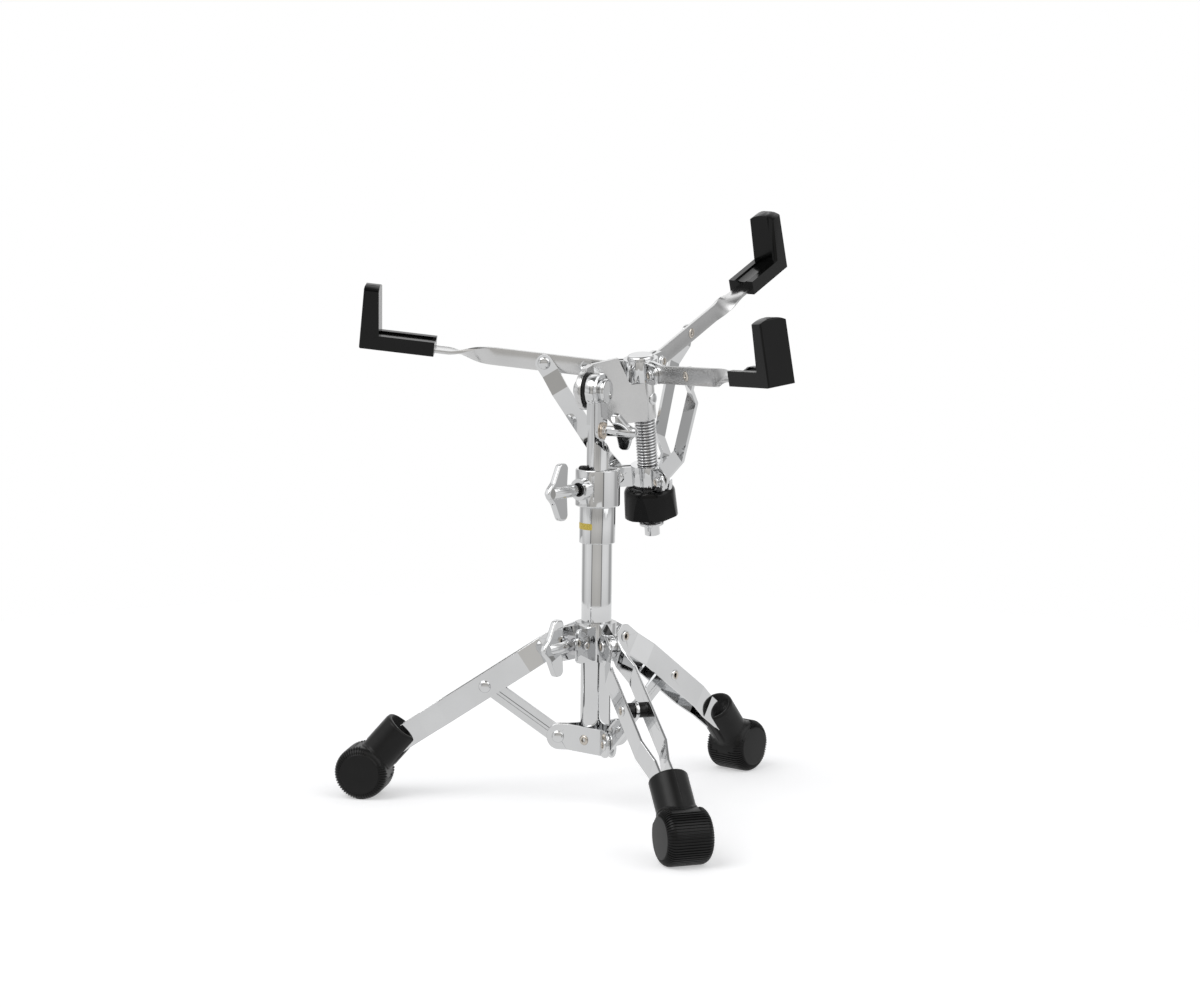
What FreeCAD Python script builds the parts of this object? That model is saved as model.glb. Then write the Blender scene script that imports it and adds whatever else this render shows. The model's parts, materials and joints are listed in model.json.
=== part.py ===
import FreeCAD, Part
import math
import os

# A low, double-braced tripod stand that carries a snare drum in a three-armed basket.
# Sizes are millimetres. The floor is z = 0 and the main tube stands on the Z axis.

Vec = FreeCAD.Vector

# Directions round the main tube, in degrees from +X. Legs, bracket plates and arms are evenly spaced.
full_turn = 360
leg_names = ("left", "front", "rear")
plate_names = ("one", "two", "three")
arm_names = ("left", "right", "rear")
first_leg_turn = 180
first_arm_turn = 201.7
clamp_turn = 240
tilt_turn = 345

# Main tube, its sleeve and the height collar.
tube_dia = 25.4
tube_wall = 1.3
tube_foot = 49.4
sleeve_wall = 2.3
sleeve_rise = 31
collar_wall = 2.5
collar_foot = 257
collar_rise = 31
collar_step = 13
collar_edge = 1.2
boss_dia = 18
boss_out = 6.3
boss_rise = 15.5
bush_flange = 3.5
bush_tail = 20
bush_drop = 1.5
bush_tab_dia = 9
bush_tab_rise = 4
bush_tab_turn = 200
slide_fit = 0.05

# Upper tube and the glide at its lower end.
upper_wall = 1.5
upper_length = 213
glide_rise = 26
glide_lip = 4
glide_gap = 0.1
glide_wall = 1.875

# Leg linkage: collar pivot to middle pivot equals middle pivot to bracket pivot.
brace_span = 74.3
leg_lean = 56
lug_reach = 14.2
bracket_pivot_rise = 60
pin_dia = 7
head_dia = 11
head_rise = 1.6
side_gap = 0.2

# Leg strips.
strip_width = 20.5
strip_thick = 2.3
strip_end_rise = 39.1
lug_thick = 7
strip_mid_offset = 10.4
strip_low_offset = 5.6
joggle_marks = (14, 34, 118, 140)
strut_width = 15
strut_thick = 3
spacer_dia = 12.5

# Feet.
wheel_dia = 46
wheel_width = 39
wheel_round = 7
wheel_flat = 0.4
wheel_out = 14.2
boot_dia = 32
boot_length = 52
boot_lean = 49
boot_round = 2
boot_blend = 3
boot_mouth_depth = 7
boot_wall = 3

# Leg collar.
ring_wall = 4.3
ring_rise = 32
lug_end = 9.5
ear_out = 19
ear_rise = 28.5
ear_thick = 3
ear_half_space = 9
ear_round = 4
nut_start = 0.5
nut_length = 14.5
nut_rise = 16
cross_pin_out = 9
cross_pin_dia = 5

# Lower bracket.
bracket_rise = 22
bracket_thick = 2.2
bracket_end = 9.8
bracket_round = 10.5

# Wing screws, measured along their axis from the shoulder of the barrel.
screw_dia = 8
barrel_dia = 11
barrel_length = 31
neck_dia = 9
neck_length = 3.5
wing_foot = 13
wing_tip_near = 11.5
wing_tip_width = 10.5
wing_half_span = 23.8
wing_tip_round_share = 0.46
wing_waist_share = 0.58
wing_waist_half = 9
wing_waist_round = 12
wing_nose_rise = 2
wing_nose_half = 4
wing_apex = 36.5
wing_thick = 5.5
wing_round = 1.5
height_screw_gap = 4
height_tip_gap = 0.8
leg_screw_gap = 1
leg_tip_gap = 0.5
tilt_wing_share = 0.8
tilt_wing_spin = 35

# Tilter at the top of the upper tube. Across is the distance along the tilt axis.
tilt_lift = 65
tilt_angle = 11
prong_right = 1
prong_side = 3
prong_foot_inset = 2.9
prong_taper = 14
prong_inset = 0.525
prong_eye_dia = 28
prong_drop = 42
tilt_ear_thick = 5
tooth_rise = 2.375
ear_gap = 0.3
tilt_ear_dia = 33
tooth_dia = 28
clamp_thick = 2.8
clamp_foot_dia = 19
wing_bolt_drop = 33
tilt_bolt_dia = 8
bolt_cap_dia = 21
bolt_cap_rise = 5
bolt_nut_dia = 17
bolt_nut_rise = 6
washer_dia = 14
washer_thick = 1.6

# Basket post, placed from the tilt axis.
post_across = 18.6
post_away = 47
hub_lift = 7.2
post_dia = 16
thread_dia = 18
post_end = 135.5
end_screw_dia = 13
end_screw_rise = 9
end_washer_dia = 21
end_washer_rise = 2
bracket_plate_thick = 4
plate_top_near = 18.5
plate_top_far = 21
plate_cut_start = 23
plate_cut_end = 32
plate_side = 8
plate_top_post = -3
plate_drop = 36
plate_drop_start = 15
plate_start = 13.5
socket_dia = 20

# Basket hubs, arms, links and claws, placed from the arm pivots.
arm_climb_angle = 10.3
arm_twist_angle = 90
hub_dia = 29
hub_rise = 18
hub_cap_dia = 23
hub_cap_rise = 3.2
cap_round_share = 0.9
arm_pivot_reach = 25.4
arm_pin_dia = 6
arm_head_dia = 10
fork_thick = 3
fork_end = 8.5
arm_width = 15
arm_thick = 3
arm_twist_start = 100
arm_twist_end = 136
arm_end = 190
link_pin_along = 56.5
link_width = 15
link_thick = 2.5
link_drop = 93.2
link_bulge = 10.5
link_marks = (10, 26)
lower_hub_rise = 19
knob_top_dia = 43
knob_foot_dia = 46
knob_flats = 43.4
knob_rise = 26.5
knob_round = 6
knob_sides = 5
knob_first_turn = -17
claw_start = 149
claw_end = 212
claw_width = 24
claw_under = 3.6
claw_over = 8.6
claw_wall = 16
claw_tip = 12.5
claw_top = 49.5
claw_dome = 3.5
claw_edge = 1.5
rail_width = 5.5
trough_depth = 5
notch_depth = 3
trough_wall = 3
stop_bolt_along = 20
stop_bolt_dia = 13
stop_bolt_sides = 6
stop_bolt_rise = 4.5
stop_washer_dia = 14
stop_washer_rise = 1.5


# Sizes that follow from the ones above.
lean = math.radians(leg_lean)
tube_bore = tube_dia - 2 * tube_wall
sleeve_dia = tube_dia + 2 * sleeve_wall
collar_bore = tube_dia + 2 * bush_flange
collar_dia = collar_bore + 2 * collar_wall
boss_reach = collar_dia / 2 + boss_out
upper_dia = tube_bore - 2 * glide_wall
ring_dia = tube_dia + 2 * ring_wall
pivot_reach = ring_dia / 2 + lug_reach
bracket_reach = pivot_reach + bracket_end
ear_reach = ring_dia / 2 + ear_out
nut_inner = ring_dia / 2 + nut_start
nut_outer = nut_inner + nut_length
cross_pin_reach = ring_dia / 2 + cross_pin_out
height_screw_shoulder = boss_reach + height_screw_gap
height_screw_tip = collar_bore / 2 + height_tip_gap
leg_screw_shoulder = nut_outer + leg_screw_gap
leg_screw_tip = tube_dia / 2 + leg_tip_gap
collar_pivot_rise = bracket_pivot_rise + 2 * brace_span * math.cos(lean)
leg_space = full_turn / len(leg_names)
arm_space = full_turn / len(arm_names)
leg_turns = {name: first_leg_turn + leg_space * n for n, name in enumerate(leg_names)}
plate_turns = {name: first_leg_turn + leg_space * (n + 0.5) for n, name in enumerate(plate_names)}
arm_turns = {name: first_arm_turn + arm_space * n for n, name in enumerate(arm_names)}
strip_end = (collar_pivot_rise - strip_end_rise) / math.cos(lean)
wheel_reach = pivot_reach + strip_end * math.sin(lean) + wheel_out
collar_top = collar_foot + collar_rise
sleeve_foot = collar_foot - sleeve_rise
tilt_rise = collar_top + tilt_lift
upper_foot = tilt_rise - upper_length
thread_top = plate_drop + hub_lift
wing_tip_far = wing_tip_near + wing_tip_width
wing_tip_round = wing_tip_round_share * wing_tip_width
wing_nose = wing_apex - wing_nose_rise
wing_waist_along = wing_tip_far + wing_waist_share * (wing_nose - wing_tip_far)
bush_top = collar_top - bush_drop
tube_top = collar_foot + collar_step
wheel_rise = wheel_dia / 2 - wheel_flat
strip_top_offset = lug_thick / 2 + side_gap + strip_thick / 2
fork_inner = arm_thick / 2 + side_gap
fork_outer = fork_inner + fork_thick
screw_hole_dia = screw_dia + 2 * slide_fit
pin_hole_dia = pin_dia + 2 * slide_fit
link_offset = arm_thick / 2 + side_gap + link_thick / 2
prong_left = prong_side - upper_dia / 2
prong_half = upper_dia / 2 - prong_inset
ear_right = prong_left - ear_gap
ear_mid = ear_right - tooth_rise
ear_left = ear_mid - tilt_ear_thick
clamp_left = prong_right + side_gap
clamp_right = clamp_left + clamp_thick


def rod(dia, length, start=Vec(0, 0, 0), way=Vec(0, 0, 1)):
    """A round bar that starts at a point and runs one way."""
    return Part.makeCylinder(dia / 2, length, start, way)


def tube(outer, inner, length, foot):
    """An upright pipe on the Z axis."""
    return rod(outer, length, Vec(0, 0, foot)).cut(rod(inner, length, Vec(0, 0, foot)))


def block(low, high):
    """A box between two corners."""
    return Part.makeBox(high.x - low.x, high.y - low.y, high.z - low.z, low)


def prism(corners, way):
    """A flat outline pushed along a vector."""
    return Part.Face(Part.makePolygon(corners + corners[:1])).extrude(way)


def joined(shapes):
    """Several solids made into one."""
    return shapes[0].fuse(shapes[1:]).removeSplitter()


def turned(shape, degrees):
    """A copy turned about the Z axis."""
    copy = shape.copy()
    copy.rotate(Vec(0, 0, 0), Vec(0, 0, 1), degrees)
    return copy


def placed(shape, placement):
    """A copy moved by a placement."""
    copy = shape.copy()
    copy.Placement = placement.multiply(copy.Placement)
    return copy


def rounded(shape, radius, wanted):
    """A copy with the edges that pass a test rounded."""
    edges = [edge for edge in shape.Edges if wanted(edge)]
    return shape.makeFillet(radius, edges)


def ribbon(path, thick):
    """The outline in plan of a sheet of one thickness that follows a path of (x, y) points."""
    sides = ([], [])
    for index, (x, y) in enumerate(path):
        near = path[max(index - 1, 0)]
        far = path[min(index + 1, len(path) - 1)]
        before = math.atan2(y - near[1], x - near[0])
        after = math.atan2(far[1] - y, far[0] - x)
        if index == 0:
            before = after
        if index == len(path) - 1:
            after = before
        half_turn = (after - before) / 2
        mitre = thick / 2 / math.cos(half_turn)
        across = before + half_turn + math.pi / 2
        sides[0].append((x + mitre * math.cos(across), y + mitre * math.sin(across)))
        sides[1].append((x - mitre * math.cos(across), y - mitre * math.sin(across)))
    return sides[0] + sides[1][::-1]


def folded_sheet(path, thick, foot, rise):
    """A bent sheet that stands upright on a path in plan."""
    corners = [Vec(x, y, foot) for x, y in ribbon(path, thick)]
    return prism(corners, Vec(0, 0, rise))


def flat_bar(length, width, thick, hole):
    """A bar along X with round ends and a hole at each end; its thickness lies along Y."""
    half = Vec(0, -thick / 2, 0)
    through = Vec(0, 1, 0)
    body = block(Vec(0, -thick / 2, -width / 2), Vec(length, thick / 2, width / 2))
    ends = [rod(width, thick, half + Vec(x, 0, 0), through) for x in (0, length)]
    bar = joined([body] + ends)
    for x in (0, length):
        bar = bar.cut(rod(hole, thick, half + Vec(x, 0, 0), through))
    return bar


def headed_pin(dia, head, rise, half_grip):
    """A rivet along Y with a domed head outside each face it grips."""
    through = Vec(0, 1, 0)
    pin = rod(dia, 2 * half_grip, Vec(0, -half_grip, 0), through)
    heads = []
    for way in (1, -1):
        cap = Part.makeCone(head / 2, dia / 2, rise, Vec(0, way * half_grip, 0), through * way)
        heads.append(cap)
    return joined([pin] + heads)


def leg_place(turn):
    """Puts a shape drawn along X onto a leg, from the collar pivot outwards."""
    fall = FreeCAD.Rotation(Vec(0, 1, 0), 90 - leg_lean)
    local = FreeCAD.Placement(Vec(pivot_reach, 0, collar_pivot_rise), fall)
    return FreeCAD.Placement(Vec(0, 0, 0), FreeCAD.Rotation(Vec(0, 0, 1), turn)).multiply(local)


def strut_place(turn):
    """Puts a shape drawn along X onto a strut, from the bracket pivot outwards."""
    climb = FreeCAD.Rotation(Vec(0, 1, 0), leg_lean - 90)
    local = FreeCAD.Placement(Vec(pivot_reach, 0, bracket_pivot_rise), climb)
    return FreeCAD.Placement(Vec(0, 0, 0), FreeCAD.Rotation(Vec(0, 0, 1), turn)).multiply(local)


def upright_place(turn, reach, rise):
    """Puts a shape drawn about the origin out along one direction from the main tube."""
    local = FreeCAD.Placement(Vec(reach, 0, rise), FreeCAD.Rotation())
    return FreeCAD.Placement(Vec(0, 0, 0), FreeCAD.Rotation(Vec(0, 0, 1), turn)).multiply(local)


def prong_place():
    """Puts a shape drawn from the tilt axis, with X along that axis, onto the stand."""
    turn = FreeCAD.Rotation(Vec(0, 0, 1), tilt_turn)
    return FreeCAD.Placement(Vec(0, 0, tilt_rise), turn)


def basket_place():
    """Adds the basket's tilt about the tilt axis."""
    tilt = FreeCAD.Placement(Vec(0, 0, 0), FreeCAD.Rotation(Vec(1, 0, 0), tilt_angle))
    return prong_place().multiply(tilt)


def post_place():
    """Puts a shape drawn on the basket's post, with z = 0 at the arm pivots, onto the stand."""
    local = FreeCAD.Placement(Vec(post_across, post_away, hub_lift), FreeCAD.Rotation())
    return basket_place().multiply(local)


def hub_place(turn):
    """Puts a shape drawn from the post, with X out along one arm, onto the stand."""
    local = FreeCAD.Placement(Vec(0, 0, 0), FreeCAD.Rotation(Vec(0, 0, 1), turn))
    return post_place().multiply(local)


def arm_place(turn):
    """Puts a shape drawn along X from the arm pivot onto a raised arm."""
    climb = FreeCAD.Rotation(Vec(0, 1, 0), -arm_climb_angle)
    local = FreeCAD.Placement(Vec(arm_pivot_reach, 0, 0), climb)
    return hub_place(turn).multiply(local)


def link_ends():
    """The link's ends in the plane of an arm, as (reach, height) from the post."""
    rise = math.radians(arm_climb_angle)
    top_reach = arm_pivot_reach + link_pin_along * math.cos(rise)
    top = (top_reach, link_pin_along * math.sin(rise))
    return top, (arm_pivot_reach, -link_drop)


def link_length():
    """The distance between the link's two rivets."""
    top, foot = link_ends()
    return math.hypot(top[0] - foot[0], top[1] - foot[1])


def link_place(turn):
    """Puts a shape drawn along X from the lower hub's pin onto a link."""
    top, foot = link_ends()
    climb = math.degrees(math.atan2(top[1] - foot[1], top[0] - foot[0]))
    local = FreeCAD.Placement(Vec(foot[0], 0, foot[1]), FreeCAD.Rotation(Vec(0, 1, 0), -climb))
    return hub_place(turn).multiply(local)


def make_lower_tube():
    """The main tube, open at both ends."""
    return tube(tube_dia, tube_bore, tube_top - tube_foot, tube_foot)


def make_tube_sleeve():
    """The thicker sleeve under the height collar."""
    sleeve = tube(sleeve_dia, tube_dia, collar_foot - sleeve_foot, sleeve_foot)
    return rounded(sleeve, collar_edge / 2, lambda edge: edge.BoundBox.ZMax < sleeve_foot + slide_fit
                   and edge.BoundBox.XMax > tube_dia / 2 + slide_fit)


def make_height_collar():
    """The collar at the top of the main tube, with a round boss for its wing screw."""
    shell = rod(collar_dia, collar_rise, Vec(0, 0, collar_foot))
    shell = rounded(shell, collar_edge, lambda edge: edge.BoundBox.ZLength < slide_fit)
    boss = rod(boss_dia, boss_reach, Vec(0, 0, collar_foot + boss_rise), Vec(1, 0, 0))
    shell = joined([shell, turned(boss, clamp_turn)])
    shell = shell.cut(rod(tube_dia, collar_step, Vec(0, 0, collar_foot)))
    shell = shell.cut(rod(collar_bore, collar_rise - collar_step, Vec(0, 0, tube_top)))
    hole = rod(screw_hole_dia, boss_reach, Vec(0, 0, collar_foot + boss_rise), Vec(1, 0, 0))
    return shell.cut(turned(hole, clamp_turn))


def make_bush():
    """The black bush that guides the upper tube, with a thin tab standing at its rim."""
    head = rod(collar_bore, bush_top - tube_top, Vec(0, 0, tube_top))
    tail = rod(tube_bore, bush_tail, Vec(0, 0, tube_top - bush_tail))
    reach = (collar_bore - bush_tab_dia) / 2
    tab = rod(bush_tab_dia, bush_tab_rise, Vec(reach, 0, bush_top))
    tab = rounded(tab, bush_tab_rise / 2, lambda edge: edge.BoundBox.ZMin > bush_top + slide_fit)
    bore = rod(upper_dia + 2 * slide_fit, collar_top, Vec(0, 0, collar_foot - bush_tail))
    hole = rod(screw_hole_dia, boss_reach, Vec(0, 0, collar_foot + boss_rise), Vec(1, 0, 0))
    bush = joined([head, tail, turned(tab, bush_tab_turn)])
    return bush.cut(bore).cut(turned(hole, clamp_turn))


def make_bracket_plate(turn):
    """One sheet of the lower bracket: a flat against the tube and an ear towards each leg."""
    side = math.radians(leg_space / 2)
    offset = strut_thick / 2 + side_gap + bracket_thick / 2
    face = tube_dia / 2 + bracket_thick / 2
    corner_reach = (face - offset * math.sin(side)) / math.cos(side)
    path = []
    for way, reach in ((-1, bracket_reach), (-1, corner_reach), (1, corner_reach), (1, bracket_reach)):
        x = reach * math.cos(side) + offset * math.sin(side)
        y = way * (reach * math.sin(side) - offset * math.cos(side))
        path.append((x, y))
    foot = bracket_pivot_rise - bracket_rise / 2
    plate = folded_sheet(path, bracket_thick, foot, bracket_rise)
    ear_edge = bracket_reach - bracket_thick

    def at_ear_end(edge):
        flat = edge.BoundBox.ZLength < slide_fit
        spot = edge.CenterOfMass
        return flat and math.hypot(spot.x, spot.y) > ear_edge
    plate = rounded(plate, bracket_round, at_ear_end)
    plate = turned(plate, turn)
    for leg_turn in leg_turns.values():
        axis = upright_place(leg_turn, pivot_reach, bracket_pivot_rise)
        hole = rod(pin_dia, 2 * lug_thick, Vec(0, -lug_thick, 0), Vec(0, 1, 0))
        plate = plate.cut(placed(hole, axis))
    return plate


def make_bracket_pin(turn):
    """The rivet through a pair of ears and the strut between them."""
    grip = strut_thick / 2 + side_gap + bracket_thick
    pin = headed_pin(pin_dia, head_dia, head_rise, grip)
    return placed(pin, upright_place(turn, pivot_reach, bracket_pivot_rise))


def make_strut(turn):
    """One of the lower braces."""
    bar = flat_bar(brace_span, strut_width, strut_thick, pin_hole_dia)
    return placed(bar, strut_place(turn))


def make_strip(turn, way):
    """One of a leg's two strips: close together at both ends and spread in the middle."""
    start, wide, narrow, close = joggle_marks
    path = [(-strip_width / 2, strip_top_offset), (start, strip_top_offset)]
    path += [(wide, strip_mid_offset), (narrow, strip_mid_offset)]
    path += [(close, strip_low_offset), (strip_end, strip_low_offset)]
    path = [(x, way * y) for x, y in path]
    sheet = folded_sheet(path, strip_thick, -strip_width / 2, strip_width)
    reach = 2 * strip_mid_offset
    end = rod(strip_width, 2 * reach, Vec(0, -reach, 0), Vec(0, 1, 0))
    rest = block(Vec(0, -reach, -strip_width / 2), Vec(strip_end, reach, strip_width / 2))
    sheet = sheet.common(joined([end, rest]))
    collar_hole = rod(pin_hole_dia, 2 * reach, Vec(0, -reach, 0), Vec(0, 1, 0))
    brace_hole = rod(pin_dia, 2 * reach, Vec(brace_span, -reach, 0), Vec(0, 1, 0))
    return placed(sheet.cut(collar_hole).cut(brace_hole), leg_place(turn))


def make_leg_pin(turn):
    """The rivet through both strips, both spacers and the strut."""
    pin = headed_pin(pin_dia, head_dia, head_rise, strip_mid_offset + strip_thick / 2)
    pin.translate(Vec(brace_span, 0, 0))
    return placed(pin, leg_place(turn))


def make_spacer(turn, way):
    """A black spacer between the strut and one strip."""
    inner = strut_thick / 2 + side_gap
    length = strip_mid_offset - strip_thick / 2 - inner
    start = Vec(brace_span, way * inner, 0)
    spacer = rod(spacer_dia, length, start, Vec(0, way, 0)).cut(rod(pin_dia, length, start, Vec(0, way, 0)))
    return placed(spacer, leg_place(turn))


def make_foot(turn):
    """A rubber foot: a wheel-shaped end across the leg and a boot that takes the strips."""
    centre = Vec(wheel_reach, 0, wheel_rise)
    wheel = rod(wheel_dia, wheel_width, centre - Vec(0, wheel_width / 2, 0), Vec(0, 1, 0))
    wheel = rounded(wheel, wheel_round, lambda edge: edge.BoundBox.YLength < slide_fit)
    tilt = math.radians(boot_lean)
    way = Vec(-math.cos(tilt), 0, math.sin(tilt))
    boot = rod(boot_dia, boot_length, centre, way)
    top = centre + way * boot_length
    foot = joined([wheel, boot])

    def at_join(edge):
        box = edge.BoundBox
        return box.YMax < boot_dia / 2 + slide_fit and box.ZMax < top.z - boot_dia / 2
    foot = rounded(foot, boot_blend, at_join)
    foot = rounded(foot, boot_round, lambda edge: edge.CenterOfMass.distanceToPoint(top) < slide_fit)
    mouth = top - way * boot_mouth_depth
    foot = foot.cut(rod(boot_dia - 2 * boot_wall, boot_mouth_depth, mouth, way))
    floor = block(Vec(0, -wheel_width, -wheel_dia), Vec(2 * wheel_reach, wheel_width, 0))
    foot = turned(foot.cut(floor), turn)
    for side in (1, -1):
        foot = foot.cut(make_strip(turn, side))
    return foot


def make_leg_collar():
    """The sliding collar: a ring with a lug for each leg and two square ears for the clamp."""
    foot = collar_pivot_rise - ring_rise / 2
    body = [rod(ring_dia, ring_rise, Vec(0, 0, foot))]
    half = lug_thick / 2
    top = foot + ring_rise
    low_shoulder = collar_pivot_rise - lug_end
    high_shoulder = collar_pivot_rise + lug_end
    for turn in leg_turns.values():
        corners = [Vec(0, -half, foot), Vec(ring_dia / 2, -half, foot)]
        corners += [Vec(pivot_reach, -half, low_shoulder), Vec(pivot_reach, -half, high_shoulder)]
        corners += [Vec(ring_dia / 2, -half, top), Vec(0, -half, top)]
        web = prism(corners, Vec(0, lug_thick, 0))
        eye = rod(2 * lug_end, lug_thick, Vec(pivot_reach, -half, collar_pivot_rise), Vec(0, 1, 0))
        body.append(turned(joined([web, eye]), turn))
    for way in (1, -1):
        near = way * ear_half_space - ear_thick / 2
        low = Vec(0, near, collar_pivot_rise - ear_rise / 2)
        high = Vec(ear_reach, near + ear_thick, collar_pivot_rise + ear_rise / 2)
        ear = block(low, high)
        ear = rounded(ear, ear_round, lambda edge: edge.BoundBox.XMin > ear_reach - slide_fit
                      and edge.BoundBox.ZLength < slide_fit)
        body.append(turned(ear, clamp_turn))
    collar = joined(body).cut(rod(tube_dia + 2 * slide_fit, ring_rise, Vec(0, 0, foot)))
    start = Vec(0, 0, collar_pivot_rise)
    collar = collar.cut(turned(rod(screw_hole_dia, nut_inner, start, Vec(1, 0, 0)), clamp_turn))
    wide = 2 * ear_half_space
    cross = rod(cross_pin_dia, 2 * wide, Vec(cross_pin_reach, -wide, collar_pivot_rise), Vec(0, 1, 0))
    collar = collar.cut(turned(cross, clamp_turn))
    for turn in leg_turns.values():
        hole = rod(pin_dia, 2 * lug_thick, Vec(pivot_reach, -lug_thick, collar_pivot_rise), Vec(0, 1, 0))
        collar = collar.cut(turned(hole, turn))
    return collar


def make_collar_pin(turn):
    """The rivet through the tops of both strips and the collar's lug."""
    grip = lug_thick / 2 + side_gap + strip_thick + side_gap
    pin = headed_pin(pin_dia, head_dia, head_rise, grip)
    return placed(pin, upright_place(turn, pivot_reach, collar_pivot_rise))


def make_clamp_nut():
    """The threaded block between the collar's square ears, with its cross rivet."""
    half = ear_half_space - ear_thick / 2
    low = Vec(nut_inner, -half, collar_pivot_rise - nut_rise / 2)
    nut = block(low, Vec(nut_outer, half, collar_pivot_rise + nut_rise / 2))
    wide = ear_half_space + ear_thick / 2 + head_rise
    rivet_start = Vec(cross_pin_reach, -wide, collar_pivot_rise)
    nut = joined([nut, rod(cross_pin_dia, 2 * wide, rivet_start, Vec(0, 1, 0))])
    hole = rod(screw_hole_dia, nut_outer, Vec(0, 0, collar_pivot_rise), Vec(1, 0, 0))
    return turned(nut.cut(hole), clamp_turn)


def wing_screw(stem, share):
    """A wing screw along X with z as its span; x = 0 is the shoulder of the barrel."""
    half = wing_thick / 2
    outline = [(wing_foot, 0), (wing_tip_near, wing_half_span), (wing_tip_far, wing_half_span)]
    outline += [(wing_waist_along, wing_waist_half), (wing_nose, wing_nose_half), (wing_apex, 0)]
    outline += [(x, -z) for x, z in outline[-2:0:-1]]
    wings = prism([Vec(x, -half, z) for x, z in outline], Vec(0, wing_thick, 0))

    def across_at(edge, size, place):
        return edge.BoundBox.YLength > half and abs(size - place) < slide_fit
    wings = rounded(wings, wing_tip_round,
                    lambda edge: across_at(edge, abs(edge.CenterOfMass.z), wing_half_span))
    wings = rounded(wings, wing_waist_round,
                    lambda edge: across_at(edge, abs(edge.CenterOfMass.z), wing_waist_half))
    wings = rounded(wings, wing_round, lambda edge: edge.BoundBox.YLength < slide_fit)
    way = Vec(1, 0, 0)
    neck = rod(neck_dia, neck_length, Vec(0, 0, 0), way)
    barrel = rod(barrel_dia, barrel_length - neck_length, Vec(neck_length, 0, 0), way)
    grip = joined([wings, neck, barrel])
    grip.scale(share)
    return joined([grip, rod(screw_dia, stem, Vec(-stem, 0, 0), way)])


def make_height_screw():
    """The wing screw of the height collar."""
    screw = wing_screw(height_screw_shoulder - height_screw_tip, 1)
    place = upright_place(clamp_turn, height_screw_shoulder, collar_foot + boss_rise)
    return placed(screw, place)


def make_leg_screw():
    """The wing screw of the leg collar."""
    screw = wing_screw(leg_screw_shoulder - leg_screw_tip, 1)
    return placed(screw, upright_place(clamp_turn, leg_screw_shoulder, collar_pivot_rise))


def make_glide():
    """The nylon glide round the lower end of the upper tube, inside the main tube."""
    outer = tube_bore - 2 * glide_gap
    ring = tube(outer, upper_dia + 2 * slide_fit, glide_rise, upper_foot)
    lip = tube(outer, upper_dia - 2 * upper_wall, glide_lip, upper_foot - glide_lip - side_gap)
    skirt = tube(outer, outer - 2 * slide_fit - upper_wall, glide_lip, upper_foot - side_gap)
    return joined([ring, lip, skirt])


def make_upper_tube():
    """The upper tube, crimped and cut at its top to a flat prong with a round eye."""
    pipe = tube(upper_dia, upper_dia - 2 * upper_wall, tilt_rise - upper_foot, upper_foot)
    for edge, way in ((prong_right, 1), (prong_left, -1)):
        outer = edge + way * upper_dia
        low = Vec(min(edge, outer), -upper_dia, -prong_drop)
        scoop = block(low, Vec(max(edge, outer), upper_dia, prong_drop))
        slope = [(edge, -prong_drop), (outer, -prong_drop), (outer, -prong_drop - upper_dia)]
        slope = prism([Vec(x, -upper_dia, z) for x, z in slope], Vec(0, 2 * upper_dia, 0))
        pipe = pipe.cut(placed(joined([scoop, slope]), prong_place()))
    thick = prong_right - prong_left
    foot_half = prong_half - prong_foot_inset
    bend = prong_taper - prong_drop
    outline = [(-prong_half, 0), (prong_half, 0), (prong_half, bend), (foot_half, -prong_drop)]
    outline += [(-foot_half, -prong_drop), (-prong_half, bend)]
    flat = prism([Vec(prong_left, y, z) for y, z in outline], Vec(thick, 0, 0))
    eye = rod(prong_eye_dia, thick, Vec(prong_left, 0, 0), Vec(1, 0, 0))
    pipe = joined([pipe, placed(joined([flat, eye]), prong_place())])
    for drop, dia in ((0, tilt_bolt_dia), (wing_bolt_drop, screw_hole_dia)):
        hole = rod(dia, 2 * upper_dia, Vec(-upper_dia, 0, -drop), Vec(1, 0, 0))
        pipe = pipe.cut(placed(hole, prong_place()))
    return pipe


def make_clamp_plate():
    """The plate that the tilter's wing bolt presses against the prong."""
    thick = clamp_right - clamp_left
    way = Vec(1, 0, 0)
    eye = rod(tooth_dia, thick, Vec(clamp_left, 0, 0), way)
    foot = rod(clamp_foot_dia, thick, Vec(clamp_left, 0, -wing_bolt_drop), way)
    half = clamp_foot_dia / 2
    web = block(Vec(clamp_left, -half, -wing_bolt_drop), Vec(clamp_right, half, 0))
    plate = joined([eye, foot, web])
    for drop, dia in ((0, tilt_bolt_dia), (wing_bolt_drop, screw_hole_dia)):
        plate = plate.cut(rod(dia, thick, Vec(clamp_left, 0, -drop), way))
    return placed(plate, prong_place())


def make_tilt_bolt():
    """The bolt the basket tilts on, with a round cap at one end and a cap nut at the other."""
    way = Vec(1, 0, 0)
    nut_face = ear_left - side_gap
    shank = rod(tilt_bolt_dia, clamp_right - nut_face, Vec(nut_face, 0, 0), way)
    cap = rod(bolt_cap_dia, bolt_cap_rise, Vec(clamp_right, 0, 0), way)
    cap = rounded(cap, bolt_cap_rise / 3, lambda edge: edge.BoundBox.XMin > clamp_right + slide_fit
                  and edge.BoundBox.XLength < slide_fit)
    nut = rod(bolt_nut_dia, bolt_nut_rise, Vec(nut_face - bolt_nut_rise, 0, 0), way)
    nut = rounded(nut, bolt_nut_rise / 2, lambda edge: edge.BoundBox.XMax < nut_face - slide_fit
                  and edge.BoundBox.XLength < slide_fit)
    return placed(joined([shank, cap, nut]), prong_place())


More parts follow.
